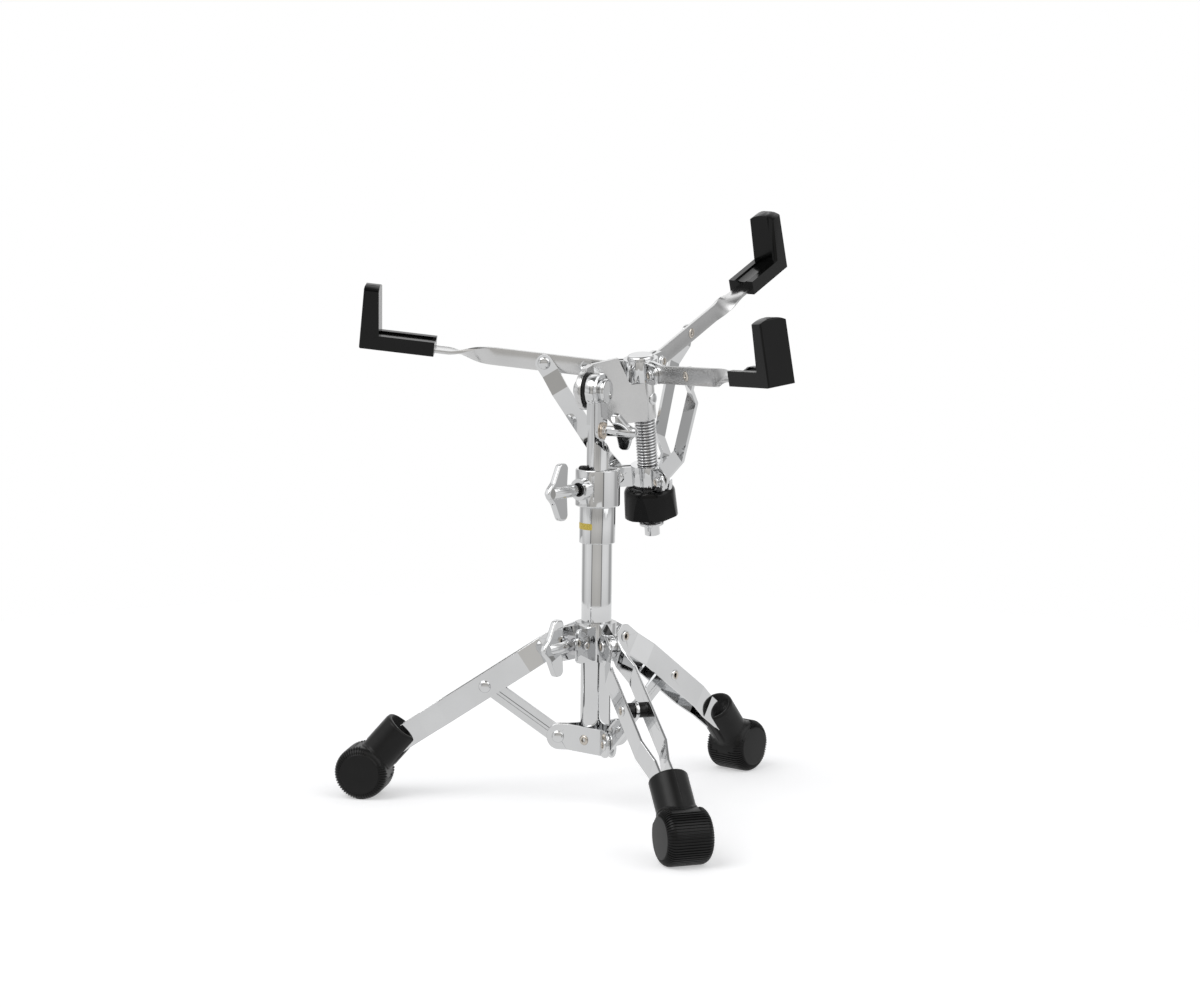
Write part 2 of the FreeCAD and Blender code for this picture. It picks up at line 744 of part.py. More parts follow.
def make_tilt_washer():
    """The brass-coloured washer under the tilter's wing bolt."""
    start = Vec(clamp_right, 0, -wing_bolt_drop)
    ring = rod(washer_dia, washer_thick, start, Vec(1, 0, 0))
    ring = ring.cut(rod(screw_hole_dia, washer_thick, start, Vec(1, 0, 0)))
    return placed(ring, prong_place())


def make_tilt_wing():
    """The tilter's wing bolt."""
    shoulder = clamp_right + washer_thick + side_gap
    screw = wing_screw(shoulder - prong_left, tilt_wing_share)
    screw.rotate(Vec(0, 0, 0), Vec(1, 0, 0), tilt_wing_spin)
    screw.translate(Vec(shoulder, 0, -wing_bolt_drop))
    return placed(screw, prong_place())


def plate_run():
    """The bracket plate's start and its direction in plan, from its ear to the post."""
    start = ((ear_left + ear_mid) / 2, plate_start)
    across = post_across - start[0]
    away = post_away - start[1]
    reach = math.hypot(across, away)
    length = math.sqrt(reach ** 2 - plate_side ** 2)
    swing = math.asin(plate_side / reach)
    return start, length, math.degrees(math.atan2(away, across) - swing)


def make_tilt_bracket():
    """The plate that carries the basket beside the tube: a toothed ear, a web and a socket."""
    way = Vec(1, 0, 0)
    ear = rod(tilt_ear_dia, ear_mid - ear_left, Vec(ear_left, 0, 0), way)
    tooth = rod(tooth_dia, ear_right - ear_mid, Vec(ear_mid, 0, 0), way)
    start, length, turn = plate_run()
    half = bracket_plate_thick / 2
    outline = [(0, plate_top_near), (plate_cut_start, plate_top_far), (plate_cut_end, plate_top_post)]
    outline += [(length, plate_top_post), (length, -plate_drop), (plate_drop_start, -plate_drop)]
    outline += [(0, -tilt_ear_dia / 2)]
    web = prism([Vec(x, -half, z) for x, z in outline], Vec(0, bracket_plate_thick, 0))
    spin = FreeCAD.Rotation(Vec(0, 0, 1), turn)
    web = placed(web, FreeCAD.Placement(Vec(start[0], start[1], 0), spin))
    top_block = block(Vec(ear_left, 0, -tilt_ear_dia / 2), Vec(ear_mid, start[1], plate_top_near))
    foot = Vec(post_across, post_away, -plate_drop)
    socket = rod(socket_dia, plate_top_post + plate_drop, foot)
    bracket = joined([ear, tooth, top_block, web, socket])
    bracket = bracket.cut(rod(tilt_bolt_dia + 2 * slide_fit, 2 * tilt_ear_dia, Vec(-tilt_ear_dia, 0, 0), way))
    bracket = bracket.cut(rod(post_dia, 2 * plate_drop, foot - Vec(0, 0, plate_drop / 2)))
    return placed(bracket, basket_place())


def make_post():
    """The basket's post: smooth in its socket, threaded below it."""
    top = hub_rise / 2
    smooth = rod(post_dia, top + thread_top, Vec(0, 0, -thread_top))
    thread = rod(thread_dia, post_end - thread_top, Vec(0, 0, -post_end))
    return placed(joined([smooth, thread]), post_place())


def make_end_screw():
    """The washer and screw that close the lower end of the post."""
    washer = rod(end_washer_dia, end_washer_rise, Vec(0, 0, -post_end - end_washer_rise))
    head = rod(end_screw_dia, end_screw_rise, Vec(0, 0, -post_end - end_washer_rise - end_screw_rise))
    return placed(joined([washer, head]), post_place())


def fork(rise):
    """Two thin lugs along X that hold a flat bar between them."""
    lugs = []
    for way in (1, -1):
        near = way * (fork_inner + fork_thick / 2) - fork_thick / 2
        half = min(rise / 2, fork_end)
        web = block(Vec(0, near, -half), Vec(arm_pivot_reach, near + fork_thick, half))
        eye = rod(2 * half, fork_thick, Vec(arm_pivot_reach, near, 0), Vec(0, 1, 0))
        lugs.append(joined([web, eye]))
    return lugs


def make_hub(rise, bore, centre, cap_rise):
    """A three-way hub with a forked lug and a rivet for each arm or link; a cap may close its top."""
    body = [rod(hub_dia, rise, Vec(0, 0, -rise / 2))]
    pin = headed_pin(arm_pin_dia, arm_head_dia, head_rise, fork_outer)
    pin.translate(Vec(arm_pivot_reach, 0, 0))
    for turn in arm_turns.values():
        for piece in fork(rise) + [pin]:
            body.append(turned(piece, turn))
    hub = joined(body)
    hub = hub.cut(rod(bore, 2 * rise, Vec(0, 0, -rise)))
    slot = block(Vec(arm_pivot_reach - fork_end, -fork_inner, -rise), Vec(hub_dia, fork_inner, rise))
    keep = rod(arm_pin_dia, 2 * fork_outer, Vec(arm_pivot_reach, -fork_outer, 0), Vec(0, 1, 0))
    for turn in arm_turns.values():
        hub = hub.cut(turned(slot.cut(keep), turn))
    if cap_rise > 0:
        cap = rod(hub_cap_dia, cap_rise, Vec(0, 0, rise / 2))
        cap = rounded(cap, cap_rise * cap_round_share, lambda edge: edge.BoundBox.ZMin > rise / 2 + slide_fit)
        hub = joined([hub, cap])
    hub.translate(Vec(0, 0, centre))
    return placed(hub, post_place())


def arm_section(along, spin):
    """The arm's cross-section at one place, turned about its length."""
    tilt = math.radians(spin)
    corners = []
    for y, z in ((-1, -1), (1, -1), (1, 1), (-1, 1)):
        flat = y * arm_thick / 2
        tall = z * arm_width / 2
        turned_y = flat * math.cos(tilt) - tall * math.sin(tilt)
        turned_z = flat * math.sin(tilt) + tall * math.cos(tilt)
        corners.append(Vec(along, turned_y, turned_z))
    return Part.makePolygon(corners + corners[:1])


def make_arm(turn):
    """A basket arm: a bar on edge that twists to lie flat where it enters its claw."""
    half = arm_thick / 2
    steps = 6
    span = arm_twist_end - arm_twist_start
    eye = rod(arm_width, arm_thick, Vec(0, -half, 0), Vec(0, 1, 0))
    straight = block(Vec(0, -half, -arm_width / 2), Vec(arm_twist_start, half, arm_width / 2))
    shares = [n / steps for n in range(steps + 1)]
    sections = [arm_section(arm_twist_start + span * share, arm_twist_angle * share) for share in shares]
    twist = Part.makeLoft(sections, True, True)
    flat = block(Vec(arm_twist_end, -arm_width / 2, -half), Vec(arm_end, arm_width / 2, half))
    arm = joined([eye, straight, twist, flat])
    arm = arm.cut(rod(arm_pin_dia + 2 * slide_fit, arm_width, Vec(0, -arm_width / 2, 0), Vec(0, 1, 0)))
    return placed(arm, arm_place(turn))


def make_claw(turn):
    """A moulded claw: a seat with two rails under the drum's rim and an upright that holds the rim."""
    half = claw_width / 2
    wall_start = claw_end - claw_wall
    outline = [(claw_start, -claw_under), (claw_end, -claw_under), (claw_end, claw_top)]
    outline += [(claw_end - claw_tip, claw_top), (wall_start, claw_over), (claw_start, claw_over)]
    claw = prism([Vec(x, -half, z) for x, z in outline], Vec(0, claw_width, 0))
    claw = rounded(claw, claw_edge, lambda edge: edge.BoundBox.XMin > claw_end - slide_fit)
    dome_dia = claw_dome + half ** 2 / claw_dome
    dome = rod(dome_dia, claw_wall, Vec(wall_start, 0, claw_top - dome_dia / 2), Vec(1, 0, 0))
    shoulder = block(Vec(wall_start, -half, claw_top - claw_dome), Vec(claw_end, half, claw_top))
    claw = claw.cut(shoulder.cut(dome))
    inner = half - rail_width
    floor = claw_over - trough_depth
    trough = block(Vec(claw_start + trough_wall, -inner, floor), Vec(wall_start, inner, claw_over))
    notch = prism([Vec(claw_start, -inner, claw_over), Vec(claw_start, inner, claw_over),
                   Vec(claw_start, 0, claw_over - notch_depth)], Vec(trough_wall, 0, 0))
    tongue = block(Vec(0, -arm_width / 2, -arm_thick / 2), Vec(arm_end, arm_width / 2, arm_thick / 2))
    return placed(claw.cut(trough).cut(notch).cut(tongue), arm_place(turn))


def make_stop_bolt(turn):
    """The hexagon bolt and washer on the left arm, which stops the arm against the hub."""
    start = Vec(stop_bolt_along, arm_thick / 2, 0)
    washer = rod(stop_washer_dia, stop_washer_rise, start, Vec(0, 1, 0))
    base = start + Vec(0, stop_washer_rise, 0)
    corners = []
    for n in range(stop_bolt_sides):
        angle = math.radians(full_turn * n / stop_bolt_sides)
        reach = stop_bolt_dia / 2
        corners.append(base + Vec(reach * math.cos(angle), 0, reach * math.sin(angle)))
    head = prism(corners, Vec(0, stop_bolt_rise, 0))
    return placed(joined([washer, head]), arm_place(turn))


def make_link(turn):
    """A link from the lower hub up to its arm, bowed sideways clear of the hub's other parts."""
    length = link_length()
    first, second = link_marks
    path = [(-link_width / 2, 0), (first, 0), (second, link_bulge)]
    path += [(length - second, link_bulge), (length - first, link_offset)]
    path += [(length + link_width / 2, link_offset)]
    sheet = folded_sheet(path, link_thick, -link_width / 2, link_width)
    reach = 2 * link_bulge
    keep = [block(Vec(0, -reach, -link_width / 2), Vec(length, reach, link_width / 2))]
    for x in (0, length):
        keep.append(rod(link_width, 2 * reach, Vec(x, -reach, 0), Vec(0, 1, 0)))
    sheet = sheet.common(joined(keep))
    foot_hole = rod(arm_pin_dia + 2 * slide_fit, 2 * reach, Vec(0, -reach, 0), Vec(0, 1, 0))
    return placed(sheet.cut(foot_hole), link_place(turn))


def make_knob():
    """The black knob that turns on the thread and lifts the lower hub: a flared body with arched flats."""
    top = -link_drop - lower_hub_rise / 2 - side_gap
    foot = Vec(0, 0, top - knob_rise)
    knob = Part.makeCone(knob_foot_dia / 2, knob_top_dia / 2, knob_rise, foot)
    knob = rounded(knob, knob_round, lambda edge: edge.BoundBox.ZMin > top - slide_fit)
    for n in range(knob_sides):
        side = block(Vec(knob_flats / 2, -knob_foot_dia, foot.z), Vec(knob_foot_dia, knob_foot_dia, top))
        knob = knob.cut(turned(side, knob_first_turn + full_turn * n / knob_sides))
    knob = knob.cut(rod(thread_dia + 2 * slide_fit, knob_rise, foot))
    return placed(knob, post_place())


def make_parts():
    """Every piece of the stand by name."""
    parts = {
        "lower_tube": make_lower_tube(),
        "tube_sleeve": make_tube_sleeve(),
        "height_collar": make_height_collar(),
        "height_bush": make_bush(),
        "height_wing_screw": make_height_screw(),
        "leg_collar": make_leg_collar(),
        "clamp_nut": make_clamp_nut(),
        "leg_wing_screw": make_leg_screw(),
        "upper_tube": make_upper_tube(),
        "tube_glide": make_glide(),
        "tilt_clamp_plate": make_clamp_plate(),
        "tilt_bolt": make_tilt_bolt(),
        "tilt_washer": make_tilt_washer(),
        "tilt_wing_bolt": make_tilt_wing(),
        "tilt_bracket": make_tilt_bracket(),
        "basket_post": make_post(),
        "post_end_screw": make_end_screw(),
        "upper_hub": make_hub(hub_rise, post_dia, 0, hub_cap_rise),
        "lower_hub": make_hub(lower_hub_rise, thread_dia + 2 * slide_fit, -link_drop, 0),
        "basket_knob": make_knob(),
    }
    for name, turn in plate_turns.items():
        parts["bracket_plate_" + name] = make_bracket_plate(turn)
    for name, turn in leg_turns.items():
        parts["bracket_pin_" + name] = make_bracket_pin(turn)
        parts["collar_pin_" + name] = make_collar_pin(turn)
        parts["strut_" + name] = make_strut(turn)
        parts["strip_a_" + name] = make_strip(turn, 1)
        parts["strip_b_" + name] = make_strip(turn, -1)
        parts["leg_pin_" + name] = make_leg_pin(turn)
        parts["spacer_a_" + name] = make_spacer(turn, 1)
        parts["spacer_b_" + name] = make_spacer(turn, -1)
        parts["foot_" + name] = make_foot(turn)
    for name, turn in arm_turns.items():
        parts["arm_" + name] = make_arm(turn)
        parts["claw_" + name] = make_claw(turn)
        parts["link_" + name] = make_link(turn)
    parts["arm_stop_bolt"] = make_stop_bolt(arm_turns["left"])
    return parts


def main():
    """Writes one STEP file for each piece."""
    os.makedirs("parts", exist_ok=True)
    for name, shape in make_parts().items():
        shape.exportStep("parts/" + name + ".step")


if __name__ == "__main__":
    main()
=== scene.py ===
import json
import math

import bmesh
import bpy
from mathutils import Matrix, Vector
from mathutils.bvhtree import BVHTree

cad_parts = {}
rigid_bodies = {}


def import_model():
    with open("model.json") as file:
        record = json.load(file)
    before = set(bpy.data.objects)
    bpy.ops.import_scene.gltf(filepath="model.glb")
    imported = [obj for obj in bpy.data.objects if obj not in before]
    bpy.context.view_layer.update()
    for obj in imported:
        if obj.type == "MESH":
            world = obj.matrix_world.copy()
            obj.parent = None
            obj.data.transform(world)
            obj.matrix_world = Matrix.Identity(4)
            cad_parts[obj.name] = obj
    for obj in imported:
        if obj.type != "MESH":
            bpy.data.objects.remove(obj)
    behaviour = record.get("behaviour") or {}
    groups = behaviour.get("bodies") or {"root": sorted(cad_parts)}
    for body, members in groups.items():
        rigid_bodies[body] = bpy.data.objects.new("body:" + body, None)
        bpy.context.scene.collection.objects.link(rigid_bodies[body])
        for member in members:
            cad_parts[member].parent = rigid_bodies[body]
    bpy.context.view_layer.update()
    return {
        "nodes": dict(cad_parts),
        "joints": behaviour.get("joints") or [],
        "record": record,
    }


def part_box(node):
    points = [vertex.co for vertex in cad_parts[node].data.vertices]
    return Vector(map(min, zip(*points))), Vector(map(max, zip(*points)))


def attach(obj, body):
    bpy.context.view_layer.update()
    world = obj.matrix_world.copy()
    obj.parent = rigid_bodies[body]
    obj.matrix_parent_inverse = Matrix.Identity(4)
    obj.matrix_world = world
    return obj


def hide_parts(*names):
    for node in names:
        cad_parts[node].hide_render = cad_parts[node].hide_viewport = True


for leftover in list(bpy.data.objects):
    bpy.data.objects.remove(leftover)
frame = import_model()
nodes = frame["nodes"]
joints = {joint["name"]: joint for joint in frame["joints"]}
node_slot = {row["node"]: row["material_slot"] for row in frame["record"]["subparts"]}
scene = bpy.context.scene

# The frame is in metres. Sizes below are in millimetres and angles in degrees unless a comment says more.
MM = 0.001
LEGS = ("left", "front", "rear")
ARMS = ("left", "right", "rear")
UP = Vector((0, 0, 1))
post_up = Vector(joints["basket_close"]["axis"])
leg_axis = {name: Vector(joints["leg_" + name + "_pivot"]["axis"]) for name in LEGS}


# Camera: the photograph's viewpoint, for an image of 1200 x 1007; its place is in metres.
IMAGE_WIDTH = 1200
FOCAL_PIXELS = 2885.6
SENSOR = 36.0
CLIP_END = 50
CAMERA_PLACE = Vector((0.39945, -2.34918, 0.57789))
LOOK_TURN = math.radians(9.60)
LOOK_DOWN = math.radians(-7.63)
LOOK_ROLL = math.radians(0.59)


def make_camera():
    data = bpy.data.cameras.new("camera")
    data.sensor_fit = "HORIZONTAL"
    data.sensor_width = SENSOR
    data.lens = FOCAL_PIXELS * SENSOR / IMAGE_WIDTH
    data.clip_end = CLIP_END
    forward = Vector((-math.sin(LOOK_TURN) * math.cos(LOOK_DOWN),
                      math.cos(LOOK_TURN) * math.cos(LOOK_DOWN), math.sin(LOOK_DOWN)))
    right = Vector((math.cos(LOOK_TURN), math.sin(LOOK_TURN), 0))
    up = right.cross(forward)
    right, up = (right * math.cos(LOOK_ROLL) + up * math.sin(LOOK_ROLL),
                 up * math.cos(LOOK_ROLL) - right * math.sin(LOOK_ROLL))
    camera = bpy.data.objects.new("camera", data)
    turn = Matrix((right, up, -forward)).transposed().to_4x4()
    camera.matrix_world = Matrix.Translation(CAMERA_PLACE) @ turn
    scene.collection.objects.link(camera)
    scene.camera = camera


# Shader nodes.
def shader(name, **sockets):
    """A material with a Principled shader whose plain sockets are set directly."""
    material = bpy.data.materials.new(name)
    material.use_nodes = True
    tree = material.node_tree
    principled = tree.nodes["Principled BSDF"]
    for key, value in sockets.items():
        principled.inputs[key.replace("_", " ")].default_value = value
    return material, tree, principled


def noise(tree, scale, detail):
    """A noise texture in the object's own metres."""
    place = tree.nodes.new("ShaderNodeTexCoord")
    texture = tree.nodes.new("ShaderNodeTexNoise")
    texture.inputs["Scale"].default_value = scale
    texture.inputs["Detail"].default_value = detail
    tree.links.new(place.outputs["Object"], texture.inputs["Vector"])
    return texture.outputs["Fac"]


def ramp(tree, source, places, colours):
    """A colour ramp over a value."""
    node = tree.nodes.new("ShaderNodeValToRGB")
    elements = node.color_ramp.elements
    while len(elements) < len(places):
        elements.new(0.5)
    for element, place, colour in zip(elements, places, colours):
        element.position = place
        element.color = (*colour, 1)
    tree.links.new(source, node.inputs["Fac"])
    return node.outputs["Color"]


def grey(value):
    return (value, value, value)


def math_node(tree, kind, *values):
    """A math node; each value is a number or another node's output."""
    node = tree.nodes.new("ShaderNodeMath")
    node.operation = kind
    for socket, value in zip(node.inputs, values):
        if isinstance(value, (int, float)):
            socket.default_value = value
        else:
            tree.links.new(value, socket)
    return node.outputs["Value"]


def mix_shader(tree, share, first, second):
    """One shader where a share is 0 and another where it is 1."""
    node = tree.nodes.new("ShaderNodeMixShader")
    tree.links.new(share, node.inputs["Fac"])
    tree.links.new(first, node.inputs[1])
    tree.links.new(second, node.inputs[2])
    return node.outputs["Shader"]


def add_bump(tree, principled, height, strength, distance):
    bump = tree.nodes.new("ShaderNodeBump")
    bump.inputs["Strength"].default_value = strength
    bump.inputs["Distance"].default_value = distance
    tree.links.new(height, bump.inputs["Height"])
    tree.links.new(bump.outputs["Normal"], principled.inputs["Normal"])


# Materials. A noise scale is in cycles per metre, a span is the part of the noise that a ramp covers,
# and a bump's distance is in metres.
CLOUD_DETAIL = 4
CLOUD_SPAN = (0.35, 0.65)
HAZE_SCALE = 400
HAZE_DETAIL = 5
HAZE_SPAN = (0.3, 0.75)
WAVE_SCALE = 90
WAVE_DETAIL = 2
WAVE_DISTANCE = 0.0004
PATCH_SCALE = 45
PATCH_SPAN = (0.35, 0.7)
GRAIN_SPAN = (0.3, 0.7)

# Darker and lighter colour, least and most roughness, scale of the clouds, strength of the waviness.
METALS = {
    "chrome": ((0.66, 0.665, 0.67), (0.69, 0.695, 0.70), 0.03, 0.06, 30, 0.012),
    "cast_zinc": ((0.48, 0.48, 0.49), (0.6, 0.6, 0.61), 0.14, 0.26, 120, 0.15),
    "brass": ((0.62, 0.53, 0.44), (0.74, 0.65, 0.55), 0.14, 0.26, 160, 0.1),
    "warm_lip": ((0.54, 0.5, 0.45), (0.66, 0.61, 0.55), 0.1, 0.2, 160, 0.06),
    "satin_chrome": (grey(0.64), grey(0.67), 0.23, 0.25, 40, 0.006),
    # The dark steel on the next row is painted shade for the thread's valleys.
    "thread_root_shade": ((0.2, 0.2, 0.205), (0.26, 0.26, 0.265), 0.25, 0.35, 300, 0.05),
}
# Darker and lighter colour, least and most roughness, specular level; scale, strength and distance of grain.
MOULDINGS = {
    "rubber_foot": (grey(0.004), grey(0.008), 0.3, 0.42, 0.25, 1800, 0.15, 0.0003),
    "rubber_claw": (grey(0.0015), grey(0.003), 0.12, 0.2, 0.24, 700, 0.02, 0.0002),
    "black_plastic": (grey(0.006), grey(0.011), 0.25, 0.4, 0.3, 1200, 0.15, 0.0002),
    "knob_plastic": (grey(0.003), grey(0.005), 0.1, 0.18, 0.2, 900, 0.04, 0.0001),
    "strip_yellow": ((0.72, 0.55, 0.09), (0.8, 0.63, 0.13), 0.3, 0.45, 0.4, 700, 0.1, 0.0001),
}


def metal(name, dark, light, rough_low, rough_high, cloud, wave):
    """Plated metal: a faint cloudiness in colour and gloss, and a slight waviness from polishing."""
    material, tree, principled = shader(name, Metallic=1.0)
    colour = ramp(tree, noise(tree, cloud, CLOUD_DETAIL), CLOUD_SPAN, (dark, light))
    tree.links.new(colour, principled.inputs["Base Color"])
    haze = noise(tree, HAZE_SCALE, HAZE_DETAIL)
    gloss = ramp(tree, haze, HAZE_SPAN, (grey(rough_low), grey(rough_high)))
    tree.links.new(gloss, principled.inputs["Roughness"])
    add_bump(tree, principled, noise(tree, WAVE_SCALE, WAVE_DETAIL), wave, WAVE_DISTANCE)
    return material


def moulded(name, dark, light, rough_low, rough_high, specular, grain, strength, distance):
    """Moulded rubber or plastic: a fine grain with small changes of shade and sheen."""
    material, tree, principled = shader(name, Metallic=0.0, Specular_IOR_Level=specular)
    colour = ramp(tree, noise(tree, PATCH_SCALE, CLOUD_DETAIL), PATCH_SPAN, (dark, light))
    tree.links.new(colour, principled.inputs["Base Color"])
    fine = noise(tree, grain, CLOUD_DETAIL)
    sheen = ramp(tree, fine, GRAIN_SPAN, (grey(rough_low), grey(rough_high)))
    tree.links.new(sheen, principled.inputs["Roughness"])
    add_bump(tree, principled, fine, strength, distance)
    return material


materials = {name: metal(name, *row) for name, row in METALS.items()}
materials.update({name: moulded(name, *row) for name, row in MOULDINGS.items()})

# Rounding of sharp edges: width, segments, least angle between faces. The weld's distance is in metres.
EDGE_BEVEL = (0.25, 2, 40)
SHEET_BEVEL = (0.5, 3, 14)
CLAW_BEVEL = (0.8, 3, 40)
SHEET_NODES = ("strip_", "link_", "bracket_plate_")
WELD_DISTANCE = 2e-6


def dress_nodes():
    """Each CAD node gets its material, welded vertices and a small rounding on its sharp edges."""
    for name, node in nodes.items():
        look = "satin_chrome" if name == "tilt_bracket" else node_slot[name]
        node.data.materials.clear()
        node.data.materials.append(materials[look])
        weld = node.modifiers.new("weld", "WELD")
        weld.merge_threshold = WELD_DISTANCE
        width, segments, angle = EDGE_BEVEL
        if name.startswith(SHEET_NODES):
            width, segments, angle = SHEET_BEVEL
        elif name.startswith("claw_"):
            width, segments, angle = CLAW_BEVEL
        bevel = node.modifiers.new("bevel", "BEVEL")
        bevel.width = width * MM
        bevel.segments = segments
        bevel.limit_method = "ANGLE"
        bevel.angle_limit = math.radians(angle)
        bevel.harden_normals = True


# Studio: the room that metal reflects is levels by height times bands by direction.
# A level's place runs from 0, straight down, to 1, straight up; a band's goes once round from the camera.
ROOM_LEVELS = ((0.0, 0.85), (0.40, 0.78), (0.5, 0.95), (0.56, 0.95), (0.60, 0.7), (0.66, 0.75),
               (0.72, 1.1), (0.79, 1.25), (0.88, 1.25), (0.93, 0.85), (0.965, 0.28), (1.0, 0.2))
FRONT_WALL = (0.7, 0.685, 0.66)
ROOM_BANDS = ((0.0, FRONT_WALL), (0.08, (0.66, 0.645, 0.62)), (0.093, grey(0.22)), (0.099, grey(0.22)),
              (0.107, grey(0.86)), (0.2, grey(1.0)), (0.27, grey(0.85)), (0.305, grey(0.55)),
              (0.365, grey(0.57)), (0.41, grey(1.02)), (0.59, grey(1.02)), (0.625, grey(0.55)),
              (0.685, grey(0.53)), (0.73, grey(0.95)), (0.8, grey(1.02)), (0.876, grey(0.98)),
              (0.886, grey(0.18)), (0.892, grey(0.18)), (0.9, (0.64, 0.625, 0.6)), (0.97, FRONT_WALL))
SOFT_COLOUR = (0.95, 0.955, 0.97, 1)
SOFT_STRENGTH = 0.42
WHITE = (1, 1, 1, 1)
# Each sun's direction, strength and spread.
SUNS = {"key": ((0.55, 0.6, -1.0), 1.0, 40), "fill": ((-0.8, 0.35, -0.7), 0.5, 55)}
# The floor's radius is in metres; its sheen in reflections is a brightness by metres from the middle.
FLOOR_RADIUS = 1.1
FLOOR_STEPS = 128
FLOOR_COLOUR = (0.86, 0.86, 0.865, 1)
FLOOR_ROUGHNESS = 0.9
FLOOR_SPECULAR = 0.1
FLOOR_GLOW = 0.42
FLOOR_SHEEN = ((0.0, 0.86), (0.3, 0.84), (0.62, 0.82), (1.0, 0.92))


def grey_ramp(tree, source, stops):
    places, values = zip(*stops)
    return ramp(tree, source, places, [grey(value) for value in values])


def make_world():
    """White for the camera, the room for reflections and a soft even light for the rest."""
    world = bpy.data.worlds.new("studio")
    scene.world = world
    world.use_nodes = True
    tree = world.node_tree
    tree.nodes.clear()
    path = tree.nodes.new("ShaderNodeLightPath")
    place = tree.nodes.new("ShaderNodeTexCoord")
    split = tree.nodes.new("ShaderNodeSeparateXYZ")
    tree.links.new(place.outputs["Generated"], split.inputs["Vector"])
    height = math_node(tree, "MULTIPLY_ADD", split.outputs["Z"], 0.5, 0.5)
    angle = math_node(tree, "ARCTAN2", split.outputs["X"], split.outputs["Y"])
    round_share = math_node(tree, "MULTIPLY_ADD", angle, 0.5 / math.pi, 0.5)
    mix = tree.nodes.new("ShaderNodeMix")
    mix.data_type = "RGBA"
    mix.blend_type = "MULTIPLY"
    mix.inputs["Factor"].default_value = 1.0
    tree.links.new(grey_ramp(tree, height, ROOM_LEVELS), mix.inputs["A"])
    tree.links.new(ramp(tree, round_share, *zip(*ROOM_BANDS)), mix.inputs["B"])
    room = tree.nodes.new("ShaderNodeBackground")
    tree.links.new(mix.outputs["Result"], room.inputs["Color"])
    white = tree.nodes.new("ShaderNodeBackground")
    white.inputs["Color"].default_value = WHITE
    soft = tree.nodes.new("ShaderNodeBackground")
    soft.inputs["Color"].default_value = SOFT_COLOUR
    soft.inputs["Strength"].default_value = SOFT_STRENGTH
    light = mix_shader(tree, path.outputs["Is Glossy Ray"],
                       soft.outputs["Background"], room.outputs["Background"])
    seen = mix_shader(tree, path.outputs["Is Camera Ray"], light, white.outputs["Background"])
    out = tree.nodes.new("ShaderNodeOutputWorld")
    tree.links.new(seen, out.inputs["Surface"])


def make_suns():
    for name, (aim, strength, spread) in SUNS.items():
        data = bpy.data.lights.new(name, "SUN")
        data.energy = strength
        data.angle = math.radians(spread)
        lamp = bpy.data.objects.new(name, data)
        lamp.rotation_euler = Vector(aim).to_track_quat("-Z", "Y").to_euler()
        scene.collection.objects.link(lamp)


def make_floor():
    """A pale disc that keeps the shadow, glows a little for the camera and looks plain in reflections."""
    mesh = bpy.data.meshes.new("floor")
    work = bmesh.new()
    bmesh.ops.create_circle(work, cap_ends=True, segments=FLOOR_STEPS, radius=FLOOR_RADIUS)
    work.to_mesh(mesh)
    work.free()
    floor = bpy.data.objects.new("floor", mesh)
    scene.collection.objects.link(floor)
    material, tree, principled = shader("floor", Base_Color=FLOOR_COLOUR, Roughness=FLOOR_ROUGHNESS,
                                        Specular_IOR_Level=FLOOR_SPECULAR, Emission_Color=WHITE)
    path = tree.nodes.new("ShaderNodeLightPath")
    glow = math_node(tree, "MULTIPLY", path.outputs["Is Camera Ray"], FLOOR_GLOW)
    tree.links.new(glow, principled.inputs["Emission Strength"])
    place = tree.nodes.new("ShaderNodeTexCoord")
    away = tree.nodes.new("ShaderNodeVectorMath")
    away.operation = "LENGTH"
    tree.links.new(place.outputs["Object"], away.inputs[0])
    mirror = tree.nodes.new("ShaderNodeEmission")
    tree.links.new(grey_ramp(tree, away.outputs["Value"], FLOOR_SHEEN), mirror.inputs["Color"])
    seen = mix_shader(tree, path.outputs["Is Glossy Ray"],
                      principled.outputs["BSDF"], mirror.outputs["Emission"])
    tree.links.new(seen, tree.nodes["Material Output"].inputs["Surface"])
    mesh.materials.append(material)


# Making pieces.
SMOOTH_ANGLE = 35
LATHE_STEPS = 40
DOME_ROWS = 7
PARALLEL = 1e-6


def new_piece(name, mesh, body, replaced=(), smooth=SMOOTH_ANGLE):
    """Puts a mesh in the scene as a piece of one body, smooth but for its sharp edges."""
    piece = bpy.data.objects.new(name, mesh)
    scene.collection.objects.link(piece)
    for polygon in mesh.polygons:
        polygon.use_smooth = True
    mesh.set_sharp_from_angle(angle=math.radians(smooth))
    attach(piece, body)
    if replaced:
        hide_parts(*replaced)


def fill_mesh(work, mesh, looks, place=Matrix()):
    """Writes worked faces into mesh data, with their normals outward, and adds the materials."""
    bmesh.ops.recalc_face_normals(work, faces=work.faces)
    work.transform(place)
    work.to_mesh(mesh)
    work.free()
    for look in looks:
        mesh.materials.append(materials[look])
    return mesh


def add_ring(work, radii, height):
    """A ring of vertices round Z, one for each radius."""
    ring = []
    for step, radius in enumerate(radii):
        angle = 2 * math.pi * step / len(radii)
        x, y = radius * MM * math.cos(angle), radius * MM * math.sin(angle)
        ring.append(work.verts.new((x, y, height * MM)))
    return ring


def bridge(work, rings):
    """Joins rings of vertices with rows of faces, and returns the rows; a ring of one vertex is a tip."""
    rows = []
    for one, two in zip(rings, rings[1:]):
        count = max(len(one), len(two))
        row = []
        for step in range(count):
            after = (step + 1) % count
            if len(one) == 1:
                corners = (one[0], two[after], two[step])
            elif len(two) == 1:
                corners = (one[step], one[after], two[0])
            else:
                corners = (one[step], one[after], two[after], two[step])
            row.append(work.faces.new(corners))
        rows.append(row)
    return rows


